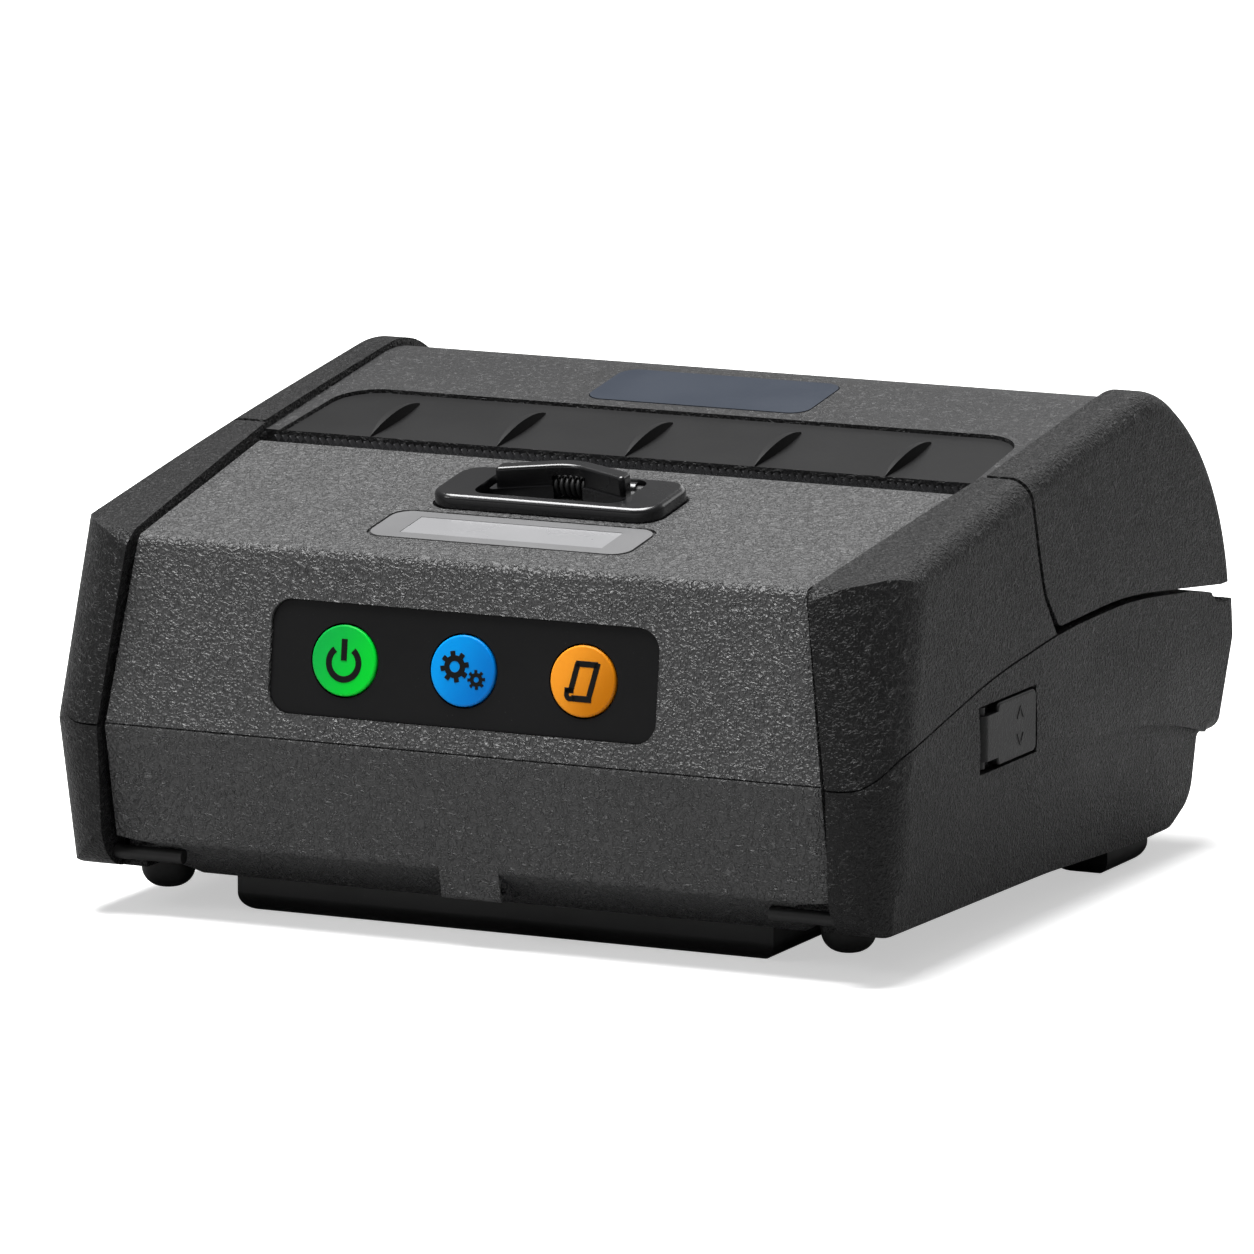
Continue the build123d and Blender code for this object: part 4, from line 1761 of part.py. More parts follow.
# Port board beside the right chassis plate, with the data port and the power jack
PORT_BOARD_X = CHASSIS_X + CHASSIS_THICK + BUTT
with BuildPart() as port_board:
    with Locations((PORT_BOARD_X, PORT_Y, PORT_Z)):
        Box(PORT_BOARD, PORT_DEEP + 1, PORT_TALL + 6, align=(Align.MIN, Align.CENTER, Align.CENTER))
port_board.part.label = "port_board"
export_step(port_board.part, "parts/port_board.step")
with BuildPart() as data_port:
    with Locations((PORT_BOARD_X + PORT_BOARD, DATA_PORT_Y, PORT_Z)):
        Box(CORE_HALF - PORT_BOARD_X - PORT_BOARD - 0.4, DATA_PORT_DEEP, DATA_PORT_TALL,
            align=(Align.MIN, Align.CENTER, Align.CENTER))
    fillet(data_port.edges().filter_by(Axis.X), 0.8)
    with Locations((CORE_HALF, DATA_PORT_Y, PORT_Z)):
        Box(2 * PORT_SOCKET_DEEP, DATA_PORT_DEEP - 2 * DATA_PORT_WALL,
            DATA_PORT_TALL - 2 * DATA_PORT_WALL, mode=Mode.SUBTRACT)
data_port.part.label = "data_port"
export_step(data_port.part, "parts/data_port.step")
with BuildPart() as power_jack:
    with Locations((PORT_BOARD_X + PORT_BOARD, POWER_JACK_Y, PORT_Z)):
        Box(CORE_HALF - PORT_BOARD_X - PORT_BOARD - 0.4, POWER_JACK_DEEP, POWER_JACK_TALL,
            align=(Align.MIN, Align.CENTER, Align.CENTER))
    with Locations((CORE_HALF, POWER_JACK_Y, PORT_Z)):
        Cylinder(POWER_JACK_HOLE_R, 2 * PORT_SOCKET_DEEP, rotation=(0, 90, 0), mode=Mode.SUBTRACT)
power_jack.part.label = "power_jack"
export_step(power_jack.part, "parts/power_jack.step")

# Rubber port cover on its strap, and the pin that the strap turns on
with BuildPart() as port_cover:
    with BuildSketch(Plane.YZ.offset(SIDE - FLAP_THICK)):
        with Locations((PORT_Y, PORT_Z)):
            RectangleRounded(PORT_DEEP, PORT_TALL, PORT_ROUND)
    extrude(amount=FLAP_THICK)
    fillet(port_cover.faces().sort_by(Axis.X)[-1].edges(), 0.35)
    with BuildSketch(Plane.YZ.offset(SIDE - FLAP_THICK)):
        with Locations((PORT_Y + 0.3, PORT_Z)):
            RectangleRounded(PORT_HOLE_DEEP - 3, PORT_HOLE_TALL - 1.2, 1)
    extrude(amount=-FLAP_PLUG)
    with Locations((SIDE - FLAP_THICK, FLAP_PIN_Y, PORT_Z)):
        Box(FLAP_THICK, PORT_Y - PORT_DEEP / 2 - FLAP_PIN_Y + 0.5, FLAP_BARREL_TALL,
            align=(Align.MIN, Align.MIN, Align.CENTER))
    with Locations((FLAP_PIN_X, FLAP_PIN_Y, PORT_Z)):
        Cylinder(FLAP_BARREL_R, FLAP_BARREL_TALL)
        Cylinder(FLAP_PIN_R + RUNNING, FLAP_BARREL_TALL, mode=Mode.SUBTRACT)
port_cover.part.label = "port_cover"
export_step(port_cover.part, "parts/port_cover.step")
with BuildPart() as port_cover_pin:
    with Locations((FLAP_PIN_X, FLAP_PIN_Y, PORT_Z)):
        Cylinder(FLAP_PIN_R, FLAP_PIN_TALL)
port_cover_pin.part.label = "port_cover_pin"
export_step(port_cover_pin.part, "parts/port_cover_pin.step")

# Feet, strap bars and case screws
with BuildPart() as front_feet:
    with Locations(*[(side * FRONT_FOOT_X, FRONT_FOOT_Y, FRONT_FOOT_Z) for side in (-1, 1)]):
        Cylinder(FRONT_FOOT_R, FRONT_FOOT_TOP - FRONT_FOOT_Z,
                 align=(Align.CENTER, Align.CENTER, Align.MIN))
    fillet(front_feet.edges().group_by(Axis.Z)[0], FRONT_FOOT_ROUND)
front_feet.part.label = "front_feet"
export_step(front_feet.part, "parts/front_feet.step")
with BuildPart() as rear_feet:
    with Locations(*[(side * REAR_FOOT_X, REAR_FOOT_Y, 0) for side in (-1, 1)]):
        Box(REAR_FOOT_WIDE, REAR_FOOT_LONG, REAR_FOOT_TOP,
            align=(Align.CENTER, Align.CENTER, Align.MIN))
    fillet(rear_feet.edges().group_by(Axis.Z)[0], REAR_FOOT_ROUND)
rear_feet.part.label = "rear_feet"
export_step(rear_feet.part, "parts/rear_feet.step")
with BuildPart() as strap_bars:
    for side in (-1, 1):
        with Locations((side * LIP_HALF, FRONT + STRAP_BAR_BACK, STRAP_BAR_Z)):
            Cylinder(STRAP_BAR_R, STRAP_BAR_END - LIP_HALF, rotation=(0, side * 90, 0),
                     align=(Align.CENTER, Align.CENTER, Align.MIN))
strap_bars.part.label = "strap_bars"
export_step(strap_bars.part, "parts/strap_bars.step")
with BuildPart() as case_screws:
    with Locations(*[(x, y, SCREW_SEAT_Z - SCREW_HEAD) for x, y in posts()]):
        Cylinder(SCREW_HEAD_R, SCREW_HEAD, align=(Align.CENTER, Align.CENTER, Align.MIN))
    with Locations(*[(x, y, SCREW_SEAT_Z) for x, y in posts()]):
        Cylinder(SCREW_R, POST_TOP_Z + SCREW_GRIP - SCREW_SEAT_Z,
                 align=(Align.CENTER, Align.CENTER, Align.MIN))
    with Locations(*[(x, y, SCREW_SEAT_Z - SCREW_HEAD) for x, y in posts()]):
        Cylinder(SCREW_DRIVE_R, SCREW_HEAD, mode=Mode.SUBTRACT)
case_screws.part.label = "case_screws"
export_step(case_screws.part, "parts/case_screws.step")
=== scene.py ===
# %% [markdown]
# A portable label printer: the looks of a CAD model
#
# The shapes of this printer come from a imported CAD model, which is loaded as a fixed frame. This script
# adds what a CAD model lacks: a grained plastic, a softer rubber, printed icons on the keys, a
# photographer's light, and a camera. All lengths are metres, with X across the printer, -Y towards its
# keys, and Z up from the table. Patterns and icons are given in millimetres and carried over.

# %% Load the model
import math

import bpy
import numpy as np
from mathutils import Matrix, Vector


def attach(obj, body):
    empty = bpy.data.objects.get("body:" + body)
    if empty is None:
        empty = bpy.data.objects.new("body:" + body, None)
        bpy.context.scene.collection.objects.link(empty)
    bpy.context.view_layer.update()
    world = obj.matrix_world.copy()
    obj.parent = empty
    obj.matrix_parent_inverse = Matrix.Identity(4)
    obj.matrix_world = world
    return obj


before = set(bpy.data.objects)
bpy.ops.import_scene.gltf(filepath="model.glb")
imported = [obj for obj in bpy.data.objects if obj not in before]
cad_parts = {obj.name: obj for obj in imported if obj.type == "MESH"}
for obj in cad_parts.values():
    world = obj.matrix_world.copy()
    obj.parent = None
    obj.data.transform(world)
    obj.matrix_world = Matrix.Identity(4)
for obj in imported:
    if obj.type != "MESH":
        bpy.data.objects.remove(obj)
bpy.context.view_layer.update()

# %% [markdown]
# The camera
#
# The photograph was taken from far away with a long lens, so lines that run away from the viewer barely
# converge. The camera stands 25.5 degrees to the right of straight ahead and looks down by 10.2
# degrees. Its lens and place were fitted to pairs of features that lie at equal distances from the
# printer's middle.

# %% Camera
MM = 0.001
AZIMUTH = math.radians(25.5)
ELEVATION = math.radians(10.2313)
EYE = Vector((735.6, -1550.3, 349.1)) * MM
SENSOR_MM = 36.0
LENS_MM = 322.09

camera_data = bpy.data.cameras.new("camera")
camera_data.sensor_width = SENSOR_MM
camera_data.lens = LENS_MM
camera = bpy.data.objects.new("camera", camera_data)
bpy.context.collection.objects.link(camera)
camera.location = EYE
camera.rotation_euler = (math.pi / 2 - ELEVATION, 0.0, AZIMUTH)
bpy.context.scene.camera = camera

# %% [markdown]
# Small helpers for shader nodes
#
# A material is a graph of nodes. These helpers add a node, set its constants on its own sockets, and join
# sockets, so that the cells below read like a recipe: first the coordinates, then patterns, then the
# shader that uses them.


# %% Node helpers
def add(tree, kind, inputs=None, **settings):
    """Adds a node of one kind, sets its properties, and fills its inputs with constants or links."""
    node = tree.nodes.new(kind)
    for key, value in settings.items():
        setattr(node, key, value)
    for key, value in (inputs or {}).items():
        if isinstance(value, bpy.types.NodeSocket):
            tree.links.new(value, node.inputs[key])
        else:
            node.inputs[key].default_value = value
    return node


def math_node(tree, operation, a, b=0.5):
    """One arithmetic step on two values, each a number or a socket."""
    node = add(tree, "ShaderNodeMath", {0: a, 1: b}, operation=operation)
    return node.outputs[0]


def scaled_vector(tree, vector, factor):
    """A vector times one number."""
    node = add(tree, "ShaderNodeVectorMath", {0: vector, "Scale": factor}, operation="SCALE")
    return node.outputs[0]


def noise(tree, vector, scale, **more):
    """The value of a noise texture; more sets its other inputs by name."""
    inputs = {"Vector": vector, "Scale": scale}
    inputs.update({key.capitalize(): value for key, value in more.items()})
    return add(tree, "ShaderNodeTexNoise", inputs).outputs[0]


def bump_normal(tree, height, depth_mm):
    """The normals of a height field whose full range is depth_mm deep."""
    node = add(tree, "ShaderNodeBump", {"Height": height, "Distance": depth_mm * MM, "Strength": 1.0})
    return node.outputs[0]


def blend_colour(tree, amount, a, b):
    """A colour between a (amount 0) and b (amount 1)."""
    node = add(tree, "ShaderNodeMix", {"Factor": amount, 6: a, 7: b}, data_type="RGBA")
    return node.outputs[2]


def tone(red, green=None, blue=None):
    """A colour of three channels, or the same level in all three, with full alpha."""
    if green is None:
        return (red, red, red, 1.0)
    return (red, green, blue, 1.0)


def lighter(colour, factor, lift=0.0):
    """A colour times a factor, with no channel above 1."""
    return [min(1.0, channel * factor + lift) for channel in colour[:3]] + [1.0]


def remap(tree, value, low, high, to_low=0.0, to_high=1.0):
    """Carries a value softly from low..high to to_low..to_high, and holds it at the ends."""
    inputs = {"Value": value, "From Min": low, "From Max": high, "To Min": to_low, "To Max": to_high}
    node = add(tree, "ShaderNodeMapRange", inputs, interpolation_type="SMOOTHSTEP")
    return node.outputs[0]


def new_group(name, inputs, outputs):
    """An empty node group with the named sockets, and its input and output nodes."""
    tree = bpy.data.node_groups.new(name, "ShaderNodeTree")
    for label, kind in inputs:
        tree.interface.new_socket(label, in_out="INPUT", socket_type="NodeSocket" + kind)
    for label, kind in outputs:
        tree.interface.new_socket(label, in_out="OUTPUT", socket_type="NodeSocket" + kind)
    return tree, add(tree, "NodeGroupInput"), add(tree, "NodeGroupOutput")


def new_material(name):
    """A material with an empty tree, and its Object coordinates in millimetres."""
    material = bpy.data.materials.new(name)
    material.use_nodes = True
    tree = material.node_tree
    tree.nodes.clear()
    place = add(tree, "ShaderNodeTexCoord").outputs["Object"]
    return material, tree, scaled_vector(tree, place, 1.0 / MM)


def finish_material(tree, shader):
    """Joins the shader to the material's output."""
    tree.links.new(shader, add(tree, "ShaderNodeOutputMaterial").inputs["Surface"])


# %% [markdown]
# Grain
#
# Moulded plastic housings copy the skin of the steel mould, which is etched with a leather-like pattern:
# small flat cells, parted by shallow crooked valleys, with short worm-like ridges that catch the light.
# The group below builds that height field from three parts: rounded Voronoi cells, ridged noise (the
# fold of a noise around its middle value gives thin crooked lines), and a fine tooth. It gives a height,
# and a mask of the highest ridges. Scales are patterns per millimetre.

# %% Grain group
WOBBLE_MM = 1.4
WORMS_PER_CELL = 0.45
WORM_WIDTH = 0.05
TOOTH_PER_MM = 4.5
PATCHES_PER_MM = 0.35
CELL_SHARE = 0.45
TOOTH_SHARE = 0.25

grain, grain_in, grain_out = new_group(
    "leather_grain",
    [("Vector", "Vector"), ("Cell", "Float"), ("Worms", "Float")],
    [("Height", "Float"), ("Ridge", "Float")],
)
grain_place = grain_in.outputs["Vector"]
per_cell = math_node(grain, "DIVIDE", 1.0, grain_in.outputs["Cell"])
wobble = add(grain, "ShaderNodeTexNoise", {"Vector": grain_place, "Scale": 0.55, "Detail": 2.0})
wobble_small = scaled_vector(grain, wobble.outputs["Color"], WOBBLE_MM)
bent = add(grain, "ShaderNodeVectorMath", {0: grain_place, 1: wobble_small}, operation="ADD").outputs[0]
cells = add(grain, "ShaderNodeTexVoronoi", {"Vector": bent, "Scale": per_cell, "Smoothness": 0.35},
            feature="SMOOTH_F1").outputs["Distance"]
cell_height = remap(grain, cells, 0.15, 0.75, 1.0, 0.0)
fold_scale = math_node(grain, "MULTIPLY", per_cell, WORMS_PER_CELL)
folds = noise(grain, bent, fold_scale, detail=1.5, roughness=0.4, distortion=0.6)
from_middle = math_node(grain, "ABSOLUTE", math_node(grain, "SUBTRACT", folds, 0.5))
worms = remap(grain, from_middle, 0.0, WORM_WIDTH, 1.0, 0.0)
tooth = noise(grain, grain_place, TOOTH_PER_MM, detail=2.0)
worm_part = math_node(grain, "MULTIPLY", worms, grain_in.outputs["Worms"])
cell_part = math_node(grain, "MULTIPLY", cell_height, CELL_SHARE)
tooth_part = math_node(grain, "MULTIPLY", tooth, TOOTH_SHARE)
height = math_node(grain, "ADD", math_node(grain, "ADD", worm_part, cell_part), tooth_part)
patchy = noise(grain, grain_place, PATCHES_PER_MM, detail=2.0)
ridge = math_node(grain, "MULTIPLY", worms, remap(grain, patchy, 0.15, 0.5))
grain.links.new(height, grain_out.inputs["Height"])
grain.links.new(ridge, grain_out.inputs["Ridge"])

# %% [markdown]
# Handling marks
#
# A printer that rides on a belt gets rubbed. Large soft clouds stand for skin grease and polish, and fine
# light specks for dust and for painted glints. Both are masks from 0 to 1, used to shift a material's
# roughness and colour a little.

# %% Handling group
CLOUDS_PER_MM = 0.045
SPECKS_PER_MM = 0.9
DUST_AND_GLINT_PATCHES_PER_MM = 0.2

handling, handling_in, handling_out = new_group(
    "handling",
    [("Vector", "Vector")],
    [("Clouds", "Float"), ("DustAndGlints", "Float")],
)
handling_place = handling_in.outputs["Vector"]
clouds = noise(handling, handling_place, CLOUDS_PER_MM, detail=4.0, roughness=0.6)
dots = add(handling, "ShaderNodeTexVoronoi", {"Vector": handling_place, "Scale": SPECKS_PER_MM,
                                              "Randomness": 1.0}).outputs["Distance"]
sparse = noise(handling, handling_place, DUST_AND_GLINT_PATCHES_PER_MM, detail=1.0)
specks = remap(handling, dots, 0.03, 0.09, 1.0, 0.0)
# Dust and painted glints: sparse fine specks that go lighter.
dust_and_glints = math_node(handling, "MULTIPLY", specks, remap(handling, sparse, 0.5, 0.62))
handling.links.new(remap(handling, clouds, 0.3, 0.7), handling_out.inputs["Clouds"])
handling.links.new(dust_and_glints, handling_out.inputs["DustAndGlints"])


# %% [markdown]
# Materials
#
# Two families cover most of the printer. Grained ones use the leather pattern as a bump, with a painted
# highlight that makes the ridges lighter; the ridges are also shinier, as hands have polished them. Smooth
# ones keep only a faint orange peel and the handling marks. Metal gets long brushed streaks instead.


# %% Handling marks in a material
DUST_AND_GLINT = tone(0.3, 0.3, 0.29)
PALE_DUST_AND_GLINT = tone(0.35, 0.35, 0.34)
CLOUD_TINT = 0.35
CLOUD_POLISH = 0.06
RIDGE_HIGHLIGHT_TINT = 0.5
DUST_AND_GLINT_TINT = 0.12
SMOOTH_CLOUD_TINT = 0.3
SMOOTH_CLOUD_ROUGH = 0.08
SMOOTH_DUST_AND_GLINT_TINT = 0.08


def marks_of(tree, place):
    """The clouds, and the specks of dust and painted glints, at a place."""
    node = add(tree, "ShaderNodeGroup", {}, node_tree=handling)
    tree.links.new(place, node.inputs["Vector"])
    return node.outputs["Clouds"], node.outputs["DustAndGlints"]


# %% Grained materials
def grained(name, colour, ridge_highlight_colour, rough, ridge_rough, cell, worms, bump_mm, gloss=0.5):
    """Grained plastic or rubber, with a painted highlight on its ridges. bump_mm is the ridge-to-valley
    depth.
    """
    material, tree, place = new_material(name)
    skin = add(tree, "ShaderNodeGroup", {}, node_tree=grain)
    tree.links.new(place, skin.inputs["Vector"])
    skin.inputs["Cell"].default_value = cell
    skin.inputs["Worms"].default_value = worms
    ridge = skin.outputs["Ridge"]
    clouds, dust_and_glints = marks_of(tree, place)
    cloudy = math_node(tree, "MULTIPLY", clouds, CLOUD_TINT)
    tint = blend_colour(tree, cloudy, colour, lighter(colour, 1.3))
    # Painted highlight: the ridges are tinted lighter, standing in for the light they catch.
    tint = blend_colour(tree, math_node(tree, "MULTIPLY", ridge, RIDGE_HIGHLIGHT_TINT), tint, ridge_highlight_colour)
    # Dust and painted glints: fine specks tinted lighter.
    tint = blend_colour(tree, math_node(tree, "MULTIPLY", dust_and_glints, DUST_AND_GLINT_TINT), tint, DUST_AND_GLINT)
    polish = math_node(tree, "SUBTRACT", rough, math_node(tree, "MULTIPLY", clouds, CLOUD_POLISH))
    roughness = add(tree, "ShaderNodeMix", {"Factor": ridge, 2: polish, 3: ridge_rough}).outputs[0]
    shader = add(tree, "ShaderNodeBsdfPrincipled", {
        "Base Color": tint,
        "Roughness": roughness,
        "Normal": bump_normal(tree, skin.outputs["Height"], bump_mm),
        "Specular IOR Level": gloss,
    })
    finish_material(tree, shader.outputs[0])
    return material


# The second colour of each is the painted highlight on the ridges.
case_plastic = grained(
    "case_plastic", tone(0.040, 0.040, 0.0405), tone(0.155, 0.155, 0.156),
    rough=0.50, ridge_rough=0.34, cell=0.55, worms=1.0, bump_mm=0.50)
# The lid's plastic is darker than the case's: partly a smoother plastic of its own, partly painted shade
# for the top light falling off towards the back.
shaded_lid_plastic = grained(
    "shaded_lid_plastic", tone(0.015, 0.015, 0.0154), tone(0.060, 0.060, 0.061),
    rough=0.50, ridge_rough=0.38, cell=0.5, worms=0.8, bump_mm=0.12, gloss=0.35)
guard_rubber = grained(
    "guard_rubber", tone(0.007, 0.007, 0.0072), tone(0.040, 0.040, 0.0405),
    rough=0.50, ridge_rough=0.38, cell=0.5, worms=0.8, bump_mm=0.30, gloss=0.2)
port_rubber = grained(
    "port_rubber", tone(0.006, 0.006, 0.0062), tone(0.014, 0.014, 0.0142),
    rough=0.46, ridge_rough=0.42, cell=0.5, worms=0.5, bump_mm=0.03, gloss=0.2)


# %% Smooth materials
def smooth(name, colour, rough, peel_mm=0.004, coat=0.0, metallic=0.0, fine=2.4, gloss=0.5):
    """Even plastic, lacquer or cast metal, with a faint orange peel and handling marks."""
    material, tree, place = new_material(name)
    clouds, dust_and_glints = marks_of(tree, place)
    peel = noise(tree, place, fine, detail=3.0)
    cloudy = math_node(tree, "MULTIPLY", clouds, SMOOTH_CLOUD_TINT)
    tint = blend_colour(tree, cloudy, colour, lighter(colour, 1.15, 0.001))
    # Dust and painted glints: fine specks tinted lighter.
    tint = blend_colour(tree, math_node(tree, "MULTIPLY", dust_and_glints, SMOOTH_DUST_AND_GLINT_TINT), tint, PALE_DUST_AND_GLINT)
    worn = math_node(tree, "ADD", rough, math_node(tree, "MULTIPLY", clouds, SMOOTH_CLOUD_ROUGH))
    shader = add(tree, "ShaderNodeBsdfPrincipled", {
        "Base Color": tint,
        "Roughness": worn,
        "Normal": bump_normal(tree, peel, peel_mm),
        "Coat Weight": coat,
        "Coat Roughness": 0.12,
        "Metallic": metallic,
        "Specular IOR Level": gloss,
    })
    finish_material(tree, shader.outputs[0])
    return material


STREAKS_ALONG_X = (0.08, 1.0, 1.0)
STREAKS_ALONG_Y = (1.0, 0.08, 1.0)
STREAK_SCALE = 5.0
STREAK_MM = 0.004


def brushed(name, colour, rough, stretch):
    """Metal whose fine scratches run along one axis: noise coordinates are squeezed along it by stretch."""
    material, tree, place = new_material(name)
    squeezed = add(tree, "ShaderNodeVectorMath", {0: place, 1: stretch}, operation="MULTIPLY").outputs[0]
    streaks = noise(tree, squeezed, STREAK_SCALE, detail=4.0)
    tint = blend_colour(tree, remap(tree, streaks, 0.3, 0.7), colour, lighter(colour, 0.8))
    shader = add(tree, "ShaderNodeBsdfPrincipled", {
        "Base Color": tint,
        "Roughness": remap(tree, streaks, 0.2, 0.8, rough - 0.06, rough + 0.08),
        "Normal": bump_normal(tree, streaks, STREAK_MM),
        "Metallic": 1.0,
    })
    finish_material(tree, shader.outputs[0])
    return material


black_gloss = smooth("black_gloss", tone(0.0045, 0.0045, 0.005), 0.22, 0.003, coat=0.3)
black_satin = smooth("black_satin", tone(0.009, 0.009, 0.0092), 0.42, 0.006, gloss=0.3)
exit_satin = smooth("exit_satin", tone(0.007, 0.007, 0.0072), 0.48, 0.012, fine=4.0, gloss=0.15)
bezel_satin = smooth("bezel_satin", tone(0.006, 0.006, 0.0063), 0.45, 0.008, fine=5.0, gloss=0.15)
film_grey = smooth("film_grey", tone(0.100, 0.100, 0.102), 0.38, 0.006)
window_grey = smooth("window_grey", tone(0.19, 0.19, 0.195), 0.25, 0.001, coat=0.4)
display_glass = smooth("display_glass", tone(0.30, 0.32, 0.31), 0.12, 0.0005)
plate_navy = smooth("plate_navy", tone(0.012, 0.017, 0.027), 0.33)
foot_rubber = smooth("foot_rubber", tone(0.007), 0.55, 0.01, fine=4.0, gloss=0.25)
battery_black = smooth("battery_black", tone(0.009, 0.009, 0.0093), 0.36, 0.01, fine=3.0, gloss=0.3)
platen_grey = smooth("platen_grey", tone(0.03, 0.03, 0.032), 0.6, 0.006)
nylon_white = smooth("nylon_white", tone(0.62, 0.60, 0.55), 0.42)
brass = smooth("brass", tone(0.72, 0.50, 0.20), 0.25, 0.002, metallic=1.0)
tooth_steel = smooth("tooth_steel", tone(0.12, 0.12, 0.125), 0.22, 0.002, metallic=0.9)
plated_steel = brushed("plated_steel", tone(0.62, 0.62, 0.63), 0.26, STREAKS_ALONG_Y)
bright_steel = brushed("bright_steel", tone(0.75, 0.75, 0.76), 0.18, STREAKS_ALONG_X)
cast_alloy = smooth("cast_alloy", tone(0.66, 0.67, 0.68), 0.38, 0.01, metallic=1.0)
icon_black = smooth("icon_black", tone(0.003), 0.5, 0.002, gloss=0.15)


# %% [markdown]
# Keys
#
# Each key cap is translucent coloured plastic with a soft shine. The light from the upper left makes one
# side paler, and that light is painted into the colour: a painted highlight on the lit side fades to
# painted shade at the far rim. The three keys stand in a row on the slanted front panel, KEY_STEP apart.


# %% Key material
KEY_STEP = 20.0
KEY_Z = 43.35
ACROSS_SHARE = 0.8
UP_SHARE = -0.45
SWIRL_MM = 2.0
PAINTED_HIGHLIGHT_END = -4.0
PAINTED_SHADE_END = 6.0
SOFT_LIGHT_RADIUS = (0.002, 0.002, 0.002)


def key_colour(name, lit_tint, shaded_tint, centre_x):
    """Satin key plastic whose colour runs from a painted highlight on one side to painted shade on the
    other.
    """
    material, tree, place = new_material(name)
    axes = add(tree, "ShaderNodeSeparateXYZ", {0: place})
    across = math_node(tree, "SUBTRACT", axes.outputs[0], centre_x)
    up = math_node(tree, "SUBTRACT", axes.outputs[2], KEY_Z)
    slant = math_node(tree, "ADD", math_node(tree, "MULTIPLY", across, ACROSS_SHARE),
                      math_node(tree, "MULTIPLY", up, UP_SHARE))
    swirl = noise(tree, place, 0.12, detail=2.0)
    painted_light_drift = math_node(tree, "ADD", slant, math_node(tree, "MULTIPLY", swirl, SWIRL_MM))
    # Painted light: 0 on the lit side of the cap, 1 on its shaded side.
    amount = remap(tree, painted_light_drift, PAINTED_HIGHLIGHT_END, PAINTED_SHADE_END)
    peel = noise(tree, place, 3.0, detail=2.0)
    shader = add(tree, "ShaderNodeBsdfPrincipled", {
        "Base Color": blend_colour(tree, amount, lit_tint, shaded_tint),
        "Roughness": 0.32,
        "Normal": bump_normal(tree, peel, 0.003),
        "Subsurface Weight": 0.06,
        "Subsurface Radius": SOFT_LIGHT_RADIUS,
        "Subsurface Scale": 0.5,
        "Specular IOR Level": 0.15,
    })
    finish_material(tree, shader.outputs[0])
    return material


# First colour: the side with the painted highlight; second colour: the side with painted shade.
key_green = key_colour("key_green", tone(0.004, 0.42, 0.060), tone(0.0, 0.62, 0.030), -KEY_STEP)
key_blue = key_colour("key_blue", tone(0.0, 0.31, 0.82), tone(0.0, 0.15, 0.52), 0.0)
key_orange = key_colour("key_orange", tone(0.92, 0.33, 0.022), tone(0.48, 0.15, 0.001), KEY_STEP)

# %% [markdown]
# Circuit boards
#
# The boards hide inside, and show once the lid is open. Their green lacquer covers copper tracks, which
# stand out as slightly lighter lines on a grid.

# %% Board material
board_green, tree, place = new_material("board_green")
tracks = add(tree, "ShaderNodeTexBrick", {
    "Vector": place,
    "Scale": 0.35,
    "Mortar Size": 0.035,
    "Color1": tone(0.012, 0.10, 0.045),
    "Color2": tone(0.014, 0.12, 0.05),
    "Mortar": tone(0.04, 0.22, 0.10),
})
lacquer = add(tree, "ShaderNodeBsdfPrincipled", {
    "Base Color": tracks.outputs["Color"],
    "Roughness": 0.3,
    "Normal": bump_normal(tree, noise(tree, place, 3.0), 0.01),
})
finish_material(tree, lacquer.outputs[0])

# %% [markdown]
# Which piece wears what
#
# Every node of the CAD model gets one of the materials above. Only the material slot changes: the meshes
# stay as the CAD tool wrote them.

# %% Assign materials
FINISH = {
    case_plastic: ["base_shell", "upper_shell"],
    shaded_lid_plastic: ["lid_shell"],
    guard_rubber: ["lower_guard_left", "lower_guard_right", "upper_guard_left", "upper_guard_right",
                   "lid_guard_left", "lid_guard_right"],
    port_rubber: ["port_cover"],
    black_gloss: ["latch_bezel", "latch_lever"],
    bezel_satin: ["key_bezel"],
    exit_satin: ["exit_guide"],
    # latch_pin and latch_spring are steel parts; black satin on them is painted shade, so they read as the
    # dark gap under the latch handle.
    black_satin: ["release_bar", "media_cradle", "media_guide_left", "media_guide_right", "media_sensor",
                  "battery_connector", "power_jack", "strap_bars", "port_cover_pin", "latch_pin",
                  "latch_spring"],
    film_grey: ["display_film"],
    window_grey: ["display_window"],
    display_glass: ["display_module"],
    plate_navy: ["label_plate"],
    foot_rubber: ["front_feet", "rear_feet"],
    battery_black: ["battery_pack"],
    platen_grey: ["platen_rubber"],
    nylon_white: ["platen_bush_left", "platen_bush_right", "platen_gear", "idler_gear", "guide_pinion"],
    brass: ["motor_pinion", "battery_contacts"],
    tooth_steel: ["tear_bar"],
    plated_steel: ["chassis_left", "chassis_right", "head_bracket", "platen_holder", "stepper_motor",
                   "data_port"],
    bright_steel: ["head_springs", "idler_pin", "lid_hinge_pins", "case_screws",
                   "platen_shaft", "motor_shaft"],
    cast_alloy: ["print_head"],
    key_green: ["power_button"],
    key_blue: ["menu_button"],
    key_orange: ["feed_button"],
    board_green: ["key_board", "main_board", "port_board"],
}
for material, names in FINISH.items():
    for name in names:
        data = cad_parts[name].data
        data.materials.clear()
        data.materials.append(material)

# %% [markdown]
# Icons on the keys
#
# The icons are thin raised prints on the caps. Each is made from a grid of points: one parameter runs
# along the stroke or around the outline, and the other goes round the stroke's small cross-section. The
# grids close on themselves, so every icon is a sealed shell. The slanted front panel starts at FOOT_Y
# and FOOT_Z, and leans back by LEAN_ABOVE over the height PANEL_RISE.

